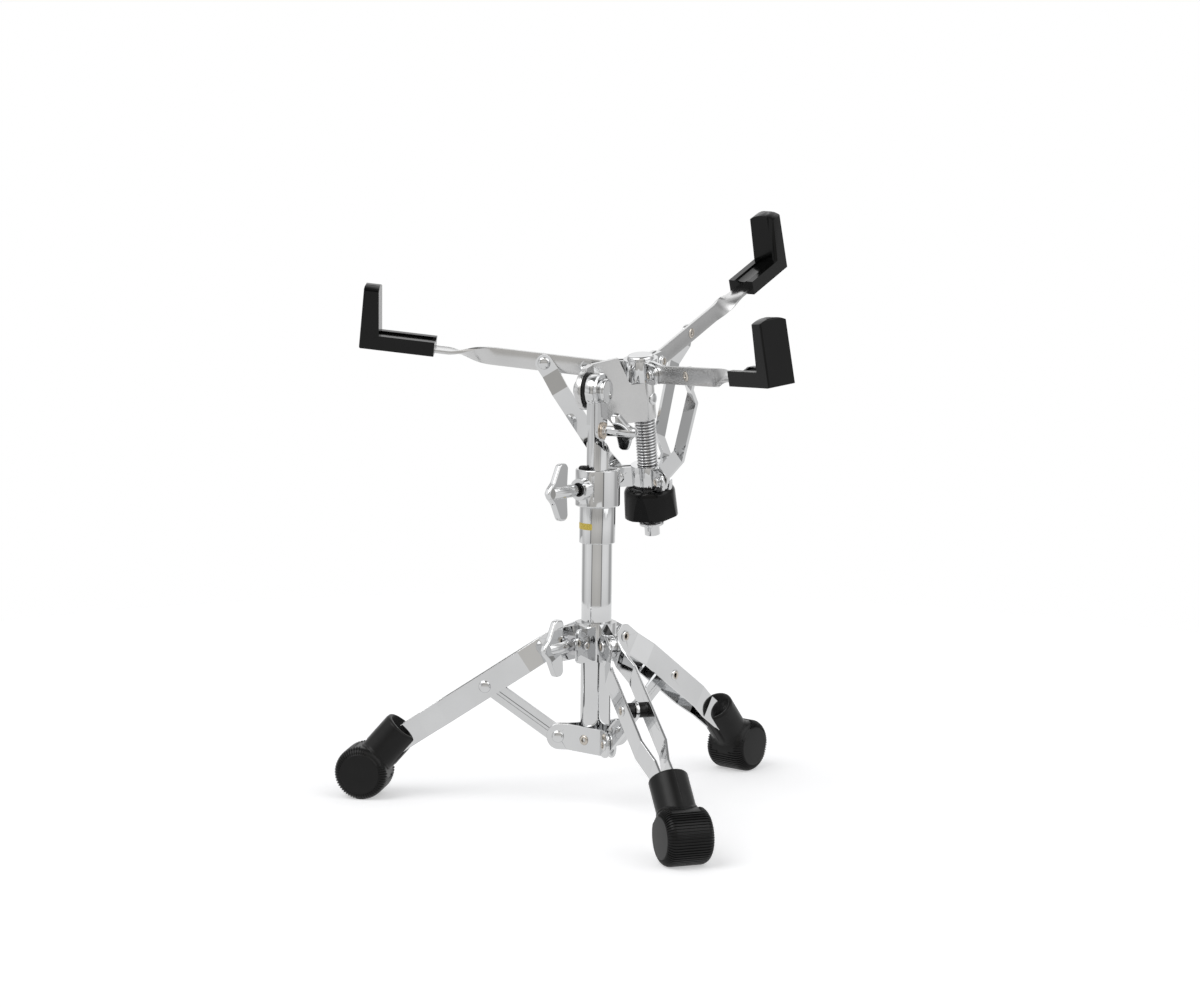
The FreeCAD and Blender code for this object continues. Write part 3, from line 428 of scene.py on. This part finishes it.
def add_bar(work, rows):
    """A closed bar through rows of corner points."""
    rings = [[work.verts.new(point) for point in row] for row in rows]
    bridge(work, rings)
    work.faces.new(rings[0][::-1])
    work.faces.new(rings[-1])


def axis_frame(origin, axis, near=UP):
    """A matrix that puts local Z along an axis, with local X as close to another direction as it can be."""
    z = Vector(axis).normalized()
    x = Vector(near) - z * z.dot(Vector(near))
    if x.length < PARALLEL:
        x = z.orthogonal()
    x.normalize()
    y = z.cross(x)
    turn = Matrix((x, y, z)).transposed().to_4x4()
    return Matrix.Translation(Vector(origin)) @ turn


# A turned piece's profile has rows of radius, place along the axis, and look of the band up to the next row.
# Its dark look, black plastic, is painted shade in holes and gaps.
RIVET_LOOKS = ("chrome", "warm_lip", "black_plastic")
BRIGHT, WARM, PAINTED_SHADE = range(3)


def turned_piece(name, profile, origin, axis, body, looks=RIVET_LOOKS, replaced=()):
    """A piece turned from a profile about an axis."""
    work = bmesh.new()
    rings = [add_ring(work, [radius] * (LATHE_STEPS if radius else 1), along)
             for radius, along, _ in profile]
    for (_, _, look), row in zip(profile, bridge(work, rings)):
        for face in row:
            face.material_index = look
    mesh = fill_mesh(work, bpy.data.meshes.new(name), looks, axis_frame(origin, axis))
    new_piece(name, mesh, body, replaced)


def dome_rows(radius, rise, foot, way):
    """Profile rows of a domed head, from its rim to its crown."""
    rows = []
    for row in range(DOME_ROWS):
        angle = math.pi / 2 * row / DOME_ROWS
        rows.append((radius * math.cos(angle), foot + way * rise * math.sin(angle), BRIGHT))
    return rows + [(0, foot + way * rise, BRIGHT)]


def rolled_rows(radius, bore, rise, depth, foot, way):
    """Profile rows of a rolled rivet end, from its hollow out to its rim: hole painted dark as shade, lip
    warm, rim bright.
    """
    lip = (radius + bore) / 2
    shape = ((0, -depth, PAINTED_SHADE), (bore * 0.8, -depth, PAINTED_SHADE), (bore, rise * 0.2, WARM),
             (bore * 1.18, rise * 0.75, WARM), (lip * 0.92, rise, WARM), (lip * 1.12, rise * 0.92, BRIGHT),
             (radius * 0.94, rise * 0.5, BRIGHT), (radius, rise * 0.12, BRIGHT), (radius, 0, BRIGHT))
    return [(out, foot + way * along, look) for out, along, look in shape]


# Finding places on the CAD nodes: how far out a ray starts, in metres.
RAY_START = 0.05
PLATE_RAY_START = 0.2


def node_tree(name):
    """A search tree of a CAD node's surface."""
    mesh = nodes[name].data
    points = [nodes[name].matrix_world @ vertex.co for vertex in mesh.vertices]
    return BVHTree.FromPolygons(points, [tuple(polygon.vertices) for polygon in mesh.polygons])


def meet(origin, way, names):
    """The nearest point where a ray meets any of some CAD nodes."""
    hits = [node_tree(name).ray_cast(origin, way) for name in names]
    hits = [(distance, spot) for spot, _, _, distance in hits if spot is not None]
    return min(hits, key=lambda hit: hit[0])[1]


def reach(centre, axis, names):
    """Where some CAD nodes begin and end along an axis through a centre."""
    near = (meet(centre - axis * RAY_START, axis, names) - centre).dot(axis) / MM
    far = (meet(centre + axis * RAY_START, -axis, names) - centre).dot(axis) / MM
    return near, far


def middle(name):
    low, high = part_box(name)
    return (Vector(low) + Vector(high)) / 2


# Rivets. A roll has its radius, bore, rise and depth of hole, a dome its radius and rise,
# and a shank its radius and how far it goes in under the head.
LEG_ROLL = (4.7, 1.7, 1.4, 2.2)
LEG_DOME = (5.3, 2.3)
LEG_SHANK_RADIUS = 3.5
PIN_HEAD = 1.6
PLATE_ROLL = (4.4, 1.5, 1.5, 1.2)
PLATE_SHANK = (3.2, 1.0)
HUB_ROLL = (4.2, 1.5, 1.0, 1.5)
HUB_DOME = (4.6, 1.6)
HUB_SHANK = (3.0, 0.5)
LINK_DOME = (5.4, 2.4)
LINK_SHANK = (2.8, 0.5)
LINK_PIN_ALONG = 56.5
# A link rivet's flush end: black at its centre and outer edge as painted shade in the hole and the gap round
# it, warm between.
LINK_END = ((0, -0.05, PAINTED_SHADE), (0.9, -0.1, WARM), (1.3, -0.6, WARM), (3.0, -0.9, WARM), (3.9, -0.6, WARM),
            (4.3, -0.1, PAINTED_SHADE), (4.5, 0, PAINTED_SHADE), (4.0, 0.5, PAINTED_SHADE))
SOCKET_RADIUS = 10.0
SOCKET_SHANK = (3.0, 1.0)
SOCKET_SEAT = ((5.0, 0, BRIGHT), (5.2, 1.0, BRIGHT))
SOCKET_DOME = (5.2, 1.5)
SOCKET_DOME_FOOT = 1.2
SOCKET_SINK = 1.2
SOCKET_DROP = 25.6
SOCKET_WAY = Vector((0.917, -0.397, -0.028))
ARM_PIVOT_REACH = 25.4
ARM_CLIMB = math.radians(10.3)


def arm_frame(arm):
    """An arm's pivot, the pivot's axis, and the ways along the bar, up its width and across its thickness."""
    joint = joints["arm_" + arm + "_pivot"]
    axis = Vector(joint["axis"])
    out = post_up.cross(axis)
    along = out * math.cos(ARM_CLIMB) + post_up * math.sin(ARM_CLIMB)
    tall = post_up * math.cos(ARM_CLIMB) - out * math.sin(ARM_CLIMB)
    return Vector(joint["pos_m"]), axis, along, tall, tall.cross(along)


def make_leg_rivets():
    """The nine rivets of the legs, each with its head on one side and its rolled end on the other."""
    for kind, body in (("bracket_pin_", "base"), ("collar_pin_", "collar"), ("leg_pin_", "leg_")):
        low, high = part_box(kind + "left")
        half = (high[1] - low[1]) / 2 / MM - PIN_HEAD
        profile = rolled_rows(*LEG_ROLL, -half, -1)
        profile += [(LEG_SHANK_RADIUS, -half, BRIGHT), (LEG_SHANK_RADIUS, half, BRIGHT)]
        profile += [(LEG_DOME[0], half, BRIGHT)] + dome_rows(*LEG_DOME, half, 1)
        for leg in LEGS:
            node = kind + leg
            owner = body + leg if body.endswith("_") else body
            turned_piece("rivet_" + node, profile, middle(node), -leg_axis[leg], owner,
                         replaced=(node,))


def make_plate_rivets():
    """The hollow rivets through the flats of the lower bracket, warm-toned to their rims, with their holes
    painted dark as shade.
    """
    radius, sink = PLATE_SHANK
    profile = [(out, along, max(look, WARM)) for out, along, look in rolled_rows(*PLATE_ROLL, 0, 1)]
    profile.append((radius, -sink, WARM))
    for plate in ("one", "two", "three"):
        node = "bracket_plate_" + plate
        centre = middle(node)
        out = Vector((centre.x, centre.y, 0)).normalized()
        spot = meet(Vector((0, 0, centre.z)) + out * PLATE_RAY_START, -out, (node,))
        turned_piece("rivet_" + node, profile, spot, out, "base")


def make_hub_rivets():
    """Rivets through both hubs' forks, each with a rolled end on one side and a domed head on the other."""
    shank, sink = HUB_SHANK
    for arm in ARMS:
        for level, hub, body in (("arm", "upper_hub", "basket"), ("link", "lower_hub", "nut_hub")):
            joint = joints[level + "_" + arm + "_pivot"]
            axis = Vector(joint["axis"])
            centre = Vector(joint["pos_m"])
            near, far = reach(centre, axis, (hub,))
            name = "rivet_" + hub + "_" + arm
            profile = rolled_rows(*HUB_ROLL, far, 1) + [(shank, far - sink, BRIGHT)]
            turned_piece(name + "_end", profile, centre, axis, body)
            profile = [(shank, near + sink, BRIGHT), (HUB_DOME[0], near, BRIGHT)]
            profile += dome_rows(*HUB_DOME, near, -1)
            turned_piece(name + "_head", profile, centre, axis, body)


def make_link_rivets():
    """The rivet between each arm and its link: domed on the link, flush and warm-toned on the arm, with
    painted shade at the flush end's centre and rim.
    """
    shank, sink = LINK_SHANK
    for arm in ARMS:
        pivot, axis, along, tall, across = arm_frame(arm)
        centre = pivot + along * LINK_PIN_ALONG * MM
        near, far = reach(centre, axis, ("arm_" + arm, "link_" + arm))
        link_side = 1 if far > -near else -1
        head, foot = (far, near) if link_side > 0 else (near, far)
        name = "rivet_link_" + arm
        profile = [(shank, head - link_side * sink, BRIGHT), (LINK_DOME[0], head, BRIGHT)]
        profile += dome_rows(*LINK_DOME, head, link_side)
        turned_piece(name + "_head", profile, centre, axis, "arm_body_" + arm)
        profile = [(radius, foot + link_side * place, look) for radius, place, look in LINK_END]
        turned_piece(name + "_end", profile, centre, axis, "arm_body_" + arm)


def make_socket_rivet():
    """The rivet that holds the post in its socket."""
    joint = joints["arm_left_pivot"]
    post_centre = Vector(joint["pos_m"]) - post_up.cross(Vector(joint["axis"])) * ARM_PIVOT_REACH * MM
    out = (SOCKET_WAY - post_up * SOCKET_WAY.dot(post_up)).normalized()
    spot = post_centre - post_up * SOCKET_DROP * MM + out * (SOCKET_RADIUS - SOCKET_SINK) * MM
    shank, sink = SOCKET_SHANK
    profile = [(shank, -sink, BRIGHT), *SOCKET_SEAT] + dome_rows(*SOCKET_DOME, SOCKET_DOME_FOOT, 1)
    turned_piece("rivet_socket", profile, spot, out, "basket")


# Arms: places along the bar are measured from its pivot.
ARM_HALF_WIDTH = 7.5
ARM_HALF_THICK = 1.5
ARM_CORNER = 0.5
ARM_CORNER_STEPS = 2
ARM_END = 190.0
ARM_SMOOTH = 30
EYE_ROWS = 10
EYE_TIP = 0.02
TWIST_START = 97.0
TWIST_END = 139.0
TWIST_ROWS = 24


def arm_loop(half_width):
    """The bar's section, a rounded rectangle, as points across and up."""
    points = []
    for corner, (side, top) in enumerate(((1, 1), (-1, 1), (-1, -1), (1, -1))):
        for step in range(ARM_CORNER_STEPS + 1):
            angle = math.pi / 2 * (corner + step / ARM_CORNER_STEPS)
            points.append((side * (ARM_HALF_THICK - ARM_CORNER) + ARM_CORNER * math.cos(angle),
                           top * max(half_width - ARM_CORNER, EYE_TIP) + ARM_CORNER * math.sin(angle)))
    return points


def make_arms():
    """The arms: bars on edge with a round eye, twisted a quarter turn to lie flat in their claws."""
    twist = TWIST_END - TWIST_START
    places = [-ARM_HALF_WIDTH * math.cos(math.pi / 2 * row / EYE_ROWS) for row in range(EYE_ROWS + 1)]
    places += [TWIST_START + twist * row / TWIST_ROWS for row in range(TWIST_ROWS + 1)] + [ARM_END]
    for arm in ARMS:
        pivot, axis, along, tall, across = arm_frame(arm)
        rows = []
        for place in places:
            half_width = ARM_HALF_WIDTH
            if place < 0:
                half_width = max(math.sqrt(ARM_HALF_WIDTH ** 2 - place ** 2), ARM_CORNER)
            share = min(1, max(0, (place - TWIST_START) / twist))
            spin = -math.pi / 2 * share * share * (3 - 2 * share)
            row = []
            for flat, high in arm_loop(half_width):
                turned = flat * math.cos(spin) - high * math.sin(spin)
                lifted = flat * math.sin(spin) + high * math.cos(spin)
                row.append(pivot + (along * place + across * turned + tall * lifted) * MM)
            rows.append(row)
        work = bmesh.new()
        add_bar(work, rows)
        mesh = fill_mesh(work, bpy.data.meshes.new("arm_bar_" + arm), ("satin_chrome",))
        new_piece("arm_bar_" + arm, mesh, "arm_body_" + arm, ("arm_" + arm,), ARM_SMOOTH)


# Claw pads: places along the arm, heights above its middle.
PAD_START = 152.0
PAD_END = 196.0
PAD_HALF = 6.5
PAD_FOOT = 3.6
PAD_TOP = 6.4
PAD_DISH = 0.7
PAD_STEPS = 8


def make_claw_pads():
    """The floor of each claw's channel, dished across."""
    loop = [(-PAD_HALF, PAD_FOOT), (PAD_HALF, PAD_FOOT)]
    for step in range(PAD_STEPS + 1):
        side = 1 - 2 * step / PAD_STEPS
        loop.append((PAD_HALF * side, PAD_TOP + PAD_DISH * side * side))
    for arm in ARMS:
        pivot, axis, along, tall, across = arm_frame(arm)
        work = bmesh.new()
        add_bar(work, [[pivot + (along * place + across * flat + tall * high) * MM for flat, high in loop]
                       for place in (PAD_START, PAD_END)])
        mesh = fill_mesh(work, bpy.data.meshes.new("claw_pad_" + arm), ("rubber_claw",))
        new_piece("claw_pad_" + arm, mesh, "arm_body_" + arm)


# Post: the thread's roots take a darker look, from a share of its depth on; this dark is painted shade for
# the valleys. The merge distance is in metres.
POST_DIA = 16.0
POST_CHAMFER = 0.8
POST_STEPS = 56
POST_SMOOTH = 60
POST_LOOKS = ("chrome", "thread_root_shade")
THREAD_DIA = 18.0
THREAD_MARGIN = 0.4
THREAD_LEAD = 0.3
THREAD_PITCH = 2.58
THREAD_DEPTH = 1.25
THREAD_FLANK = 1.35
THREAD_ROWS = 8
ROOT_SHARE = 0.8
MERGE_DISTANCE = 1e-7


def make_post():
    """The basket post: plain in its socket, with a rounded thread cut below."""
    knob = Vector(joints["knob_turn"]["pos_m"])
    points = [vertex.co for vertex in nodes["basket_post"].data.vertices]
    heights = [(point - knob).dot(post_up) / MM for point in points]
    top = max(heights)
    foot = min(heights)
    thread_top = max(height for point, height in zip(points, heights)
                     if ((point - knob) - post_up * height * MM).length > (POST_DIA / 2 + THREAD_MARGIN) * MM)
    count = int((thread_top - foot) / THREAD_PITCH * THREAD_ROWS)
    plain = ((0.0, top), (POST_DIA / 2 - POST_CHAMFER, top), (POST_DIA / 2, top - POST_CHAMFER),
             (POST_DIA / 2, thread_top + THREAD_LEAD))
    work = bmesh.new()
    rings = [add_ring(work, [radius] * POST_STEPS, height) for radius, height in plain]
    for row in range(count + 1):
        height = thread_top + (foot - thread_top) * row / count
        fade = min(1, row / THREAD_ROWS, (count - row) / THREAD_ROWS)
        radii = []
        for step in range(POST_STEPS):
            share = (height / THREAD_PITCH - step / POST_STEPS) % 1
            crest = 0.5 + 0.5 * math.cos(2 * math.pi * share)
            crest = min(1, max(0, (crest - 0.5) * THREAD_FLANK + 0.5))
            radii.append(THREAD_DIA / 2 - THREAD_DEPTH + THREAD_DEPTH * crest * fade)
        rings.append(add_ring(work, radii, height))
    root_radius = THREAD_DIA / 2 - THREAD_DEPTH * ROOT_SHARE
    for row in bridge(work, rings)[len(plain):]:
        for face in row:
            # Faces deep in the thread's valleys get the dark steel: painted shade.
            if min(vertex.co.xy.length for vertex in face.verts) / MM < root_radius:
                face.material_index = POST_LOOKS.index("thread_root_shade")
    work.faces.new(rings[-1])
    bmesh.ops.remove_doubles(work, verts=work.verts, dist=MERGE_DISTANCE)
    place = axis_frame(knob, post_up, (1, 0, 0))
    mesh = fill_mesh(work, bpy.data.meshes.new("threaded_post"), POST_LOOKS, place)
    new_piece("threaded_post", mesh, "basket", ("basket_post",), POST_SMOOTH)


# Feet: a wheel with rounded shoulders, and a boot that leans up the leg.
WHEEL_RADIUS = 23.0
WHEEL_RISE = 22.6
WHEEL_ROWS = 5
WHEEL_FACE_ANGLE = 8
SHOULDER_ROUND = 7.0
TREAD_LIFT = 1
TREAD_MARGIN = 0.08
FLOOR_CLEAR = 0.02
BOOT_LEAN = math.radians(49)
BOOT_CLEAR = 20.3
BOOT_RADIUS = 16.0
RIB_COUNT = 58
RIB_DEPTH = 0.9
RIB_SINK = 0.15
RIB_FOOT_HALF = 0.8
RIB_CREST_HALF = 0.42
RIB_SECTION = ((-RIB_FOOT_HALF, RIB_DEPTH + RIB_SINK), (-RIB_CREST_HALF, 0),
               (RIB_CREST_HALF, 0), (RIB_FOOT_HALF, RIB_DEPTH + RIB_SINK))
SEAM_FOOT = 22.0
SEAM_HEAD = 49.0
SEAM_HALF = 0.45
SEAM_RISE = 0.3
SEAM_SECTION = ((-SEAM_HALF, -RIB_SINK), (0, SEAM_RISE), (SEAM_HALF, -RIB_SINK), (0, -SEAM_HALF))
FOOT_SMOOTH = 40


def wheel_profile(half_width):
    """The wheel's outline from end face to end face: radius, place across, and the outward way in both."""
    rim = WHEEL_RADIUS - SHOULDER_ROUND
    shoulder = half_width - SHOULDER_ROUND
    side = []
    for row in range(WHEEL_ROWS + 1):
        angle = math.radians(WHEEL_FACE_ANGLE + (90 - WHEEL_FACE_ANGLE) * row / WHEEL_ROWS)
        side.append((rim + SHOULDER_ROUND * math.sin(angle), -shoulder - SHOULDER_ROUND * math.cos(angle),
                     math.sin(angle), -math.cos(angle)))
    tread = [(WHEEL_RADIUS, shoulder * share, 1.0, 0.0) for share in (-0.5, 0.0, 0.5)]
    return side + tread + [(radius, -across, lift, -drift) for radius, across, lift, drift in side[::-1]]


def let_in_tread(work, centre, axis, half_width):
    """Moves the wheel's tread and shoulders in by the ribs' depth, but not where they stand on the floor."""
    for vertex in work.verts:
        arm = vertex.co - centre
        across = arm.dot(axis) / MM
        radial = arm - axis * across * MM
        over = max(abs(across) - (half_width - SHOULDER_ROUND), 0)
        lift = radial.length / MM - (WHEEL_RADIUS - SHOULDER_ROUND)
        on_tread = lift >= TREAD_LIFT and abs(math.hypot(over, lift) - SHOULDER_ROUND) <= TREAD_MARGIN
        if on_tread and vertex.co.z >= FLOOR_CLEAR * MM:
            outward = radial.normalized() * lift + axis * math.copysign(over, across)
            vertex.co -= outward.normalized() * RIB_DEPTH * MM


def add_ribs(work, centre, axis, out, boot, profile):
    """Ribs across the tread and shoulders, left out where the boot joins the wheel."""
    for turn in range(RIB_COUNT):
        angle = 2 * math.pi * turn / RIB_COUNT
        way = out * math.cos(angle) + UP * math.sin(angle)
        side = UP * math.cos(angle) - out * math.sin(angle)
        runs = [[]]
        for radius, across, lift, drift in profile:
            spot = centre + (way * radius + axis * across) * MM
            arm = spot - centre
            along = arm.dot(boot)
            if along > 0 and (arm - boot * along).length < BOOT_CLEAR * MM:
                runs.append([])
                continue
            normal = way * lift + axis * drift
            scale = radius / WHEEL_RADIUS
            corners = [spot + (side * half * scale - normal * depth) * MM for half, depth in RIB_SECTION]
            for corner in corners:
                corner.z = max(corner.z, FLOOR_CLEAR * MM)
            runs[-1].append(corners)
        for run in runs:
            if len(run) > 1:
                add_bar(work, run)


def make_feet():
    """Each foot: the solid's form with its tread let in, ribs across the wheel and seams along the boot."""
    low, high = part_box("foot_left")
    wheel_out = -low[0] / MM - WHEEL_RADIUS
    half_width = (high[1] - low[1]) / 2 / MM
    profile = wheel_profile(half_width)
    for leg in LEGS:
        axis = leg_axis[leg]
        out = UP.cross(axis)
        centre = out * wheel_out * MM + UP * WHEEL_RISE * MM
        boot = UP * math.sin(BOOT_LEAN) - out * math.cos(BOOT_LEAN)
        mesh = nodes["foot_" + leg].data.copy()
        mesh.materials.clear()
        work = bmesh.new()
        work.from_mesh(mesh)
        bmesh.ops.remove_doubles(work, verts=work.verts, dist=WELD_DISTANCE)
        let_in_tread(work, centre, axis, half_width)
        add_ribs(work, centre, axis, out, boot, profile)
        for way in (1, -1):
            side = (out * math.sin(BOOT_LEAN) + UP * math.cos(BOOT_LEAN)) * way
            add_bar(work, [[centre + boot * along * MM + (side * (BOOT_RADIUS + lift) + axis * half) * MM
                            for half, lift in SEAM_SECTION] for along in (SEAM_FOOT, SEAM_HEAD)])
        work.normal_update()
        fill_mesh(work, mesh, ("rubber_foot",))
        new_piece("ribbed_foot_" + leg, mesh, "leg_" + leg, ("foot_" + leg,), FOOT_SMOOTH)


# Blank strip: the ends of its arc and the arc of its rounded corners are angles about the tube.
STRIP_RADIUS = 15.07
STRIP_THICK = 0.15
STRIP_LOW = 237.9
STRIP_HIGH = 243.3
STRIP_START = -170
STRIP_STOP = -97
STRIP_STEPS = 28
STRIP_CORNER = 4.0
STRIP_TRIM = 0.9


def make_blank_strip():
    """A small blank paper strip stuck round the sleeve."""
    sweep = STRIP_STOP - STRIP_START
    rows = []
    for step in range(STRIP_STEPS + 1):
        turn = math.radians(STRIP_START + sweep * step / STRIP_STEPS)
        edge = min(step, STRIP_STEPS - step) / STRIP_STEPS * sweep
        trim = STRIP_TRIM * max(0, 1 - edge / STRIP_CORNER) ** 2
        low, high, inner = STRIP_LOW + trim, STRIP_HIGH - trim, STRIP_RADIUS - STRIP_THICK
        section = ((inner, low), (STRIP_RADIUS, low), (STRIP_RADIUS, high), (inner, high))
        rows.append([(radius * MM * math.cos(turn), radius * MM * math.sin(turn), height * MM)
                     for radius, height in section])
    work = bmesh.new()
    add_bar(work, rows)
    mesh = fill_mesh(work, bpy.data.meshes.new("blank_strip"), ("strip_yellow",))
    new_piece("blank_strip", mesh, "base")


# Screw details: profiles along the screws' axes, from the tube's axis out.
# Black plastic for the rings that paint in dark gaps: painted shade.
SHADE_RING_LOOKS = ("black_plastic",)
COLLAR_RING = ((4.15, 24.0, 0), (5.9, 24.0, 0), (5.9, 25.3, 0), (5.5, 25.9, 0), (4.6, 25.9, 0),
               (4.15, 25.4, 0), (4.15, 24.0, 0))
# The wing end's first band, the bottom of its hole, is painted dark as shade.
WING_END = ((0, 31.5, PAINTED_SHADE), (1.9, 31.5, PAINTED_SHADE), (2.0, 34.4, BRIGHT), (2.3, 34.8, BRIGHT), (3.4, 34.8, BRIGHT),
            (3.9, 34.2, BRIGHT), (4.2, 29.6, BRIGHT), (0, 29.6, BRIGHT))
CLAMP_ROLL = (3.4, 1.3, 0.6, 0.4)
CLAMP_SHANK = (2.4, 0.4)
CROSS_PIN_REACH = 26.0


def tube_level(joint):
    """The point of the tube's axis that is level with a joint."""
    return Vector((0, 0, joint["pos_m"][2]))


def make_collar_shade_ring():
    """A black ring in the mouth of the height collar's boss, painted shade for the dark gap there."""
    joint = joints["height_wing_turn"]
    level = tube_level(joint)
    turned_piece("collar_shade_ring", COLLAR_RING, level, joint["axis"], "base", SHADE_RING_LOOKS)


def make_wing_end():
    """The hollow end of the tilter's wing bolt, with the bottom of its hole painted dark as shade."""
    joint = joints["tilt_wing_turn"]
    turned_piece("tilt_wing_end", WING_END, tube_level(joint), joint["axis"], "tilt_wing")


def make_clamp_rivets():
    """The two rolled ends of the rivet across the leg collar's threaded block."""
    joint = joints["leg_wing_turn"]
    out = Vector(joint["axis"])
    side = Vector((-out.y, out.x, 0))
    centre = out * CROSS_PIN_REACH * MM + tube_level(joint)
    shank, sink = CLAMP_SHANK
    profile = rolled_rows(*CLAMP_ROLL, 0, 1) + [(shank, -sink, BRIGHT)]
    for name, way in (("one", 1), ("two", -1)):
        spot = meet(centre + side * way * RAY_START, -side * way, ("clamp_nut",))
        turned_piece("rivet_clamp_" + name, profile, spot, side * way, "collar")


# Tilter: places along the tilt axis, from the joint's middle.
RING_START = -9.15
RING_END = -6.85
RING_BORE = 13.0
RING_RADIUS = 14.9
RING_CHAMFER = 0.5
EYE_RADIUS = 14.0
TOOTH_COUNT = 54
TOOTH_START = -20
TOOTH_SWEEP = 220
TOOTH_ENDS = (1.4, 3.8)
TOOTH_SECTION = ((-0.36, -0.2), (-0.1, 0.32), (0.1, 0.32), (0.36, -0.2))


def make_eye_teeth():
    """Fine teeth round the upper edge of the tilter's clamp plate."""
    joint = joints["basket_tilt"]
    axis = Vector(joint["axis"])
    centre = Vector(joint["pos_m"])
    back = UP.cross(axis)
    work = bmesh.new()
    for tooth in range(TOOTH_COUNT):
        angle = math.radians(TOOTH_START + TOOTH_SWEEP * tooth / (TOOTH_COUNT - 1))
        way = back * math.cos(angle) + UP * math.sin(angle)
        side = UP * math.cos(angle) - back * math.sin(angle)
        add_bar(work, [[centre + (axis * across + way * (EYE_RADIUS + lift) + side * half) * MM
                        for half, lift in TOOTH_SECTION] for across in TOOTH_ENDS])
    mesh = fill_mesh(work, bpy.data.meshes.new("eye_teeth"), ("chrome",))
    new_piece("eye_teeth", mesh, "upper")


def make_tilt_shade_ring():
    """A black ring between the bracket's ear and the prong: painted shade and painted dark reflection for the
    dark gap there.
    """
    joint = joints["basket_tilt"]
    shoulder = RING_RADIUS - RING_CHAMFER
    crown = (RING_START + RING_END) / 2
    profile = ((RING_BORE, RING_START, 0), (shoulder, RING_START, 0), (RING_RADIUS, crown, 0),
               (shoulder, RING_END, 0), (RING_BORE, RING_END, 0), (RING_BORE, RING_START, 0))
    turned_piece("tilt_shade_ring", profile, joint["pos_m"], joint["axis"], "basket", SHADE_RING_LOOKS)


scene.view_settings.view_transform = "Standard"
make_camera()
make_world()
make_suns()
make_floor()
dress_nodes()
make_leg_rivets()
make_plate_rivets()
make_hub_rivets()
make_link_rivets()
make_arms()
make_post()
make_feet()
make_socket_rivet()
make_blank_strip()
make_collar_shade_ring()
make_wing_end()
make_clamp_rivets()
make_eye_teeth()
make_claw_pads()
make_tilt_shade_ring()
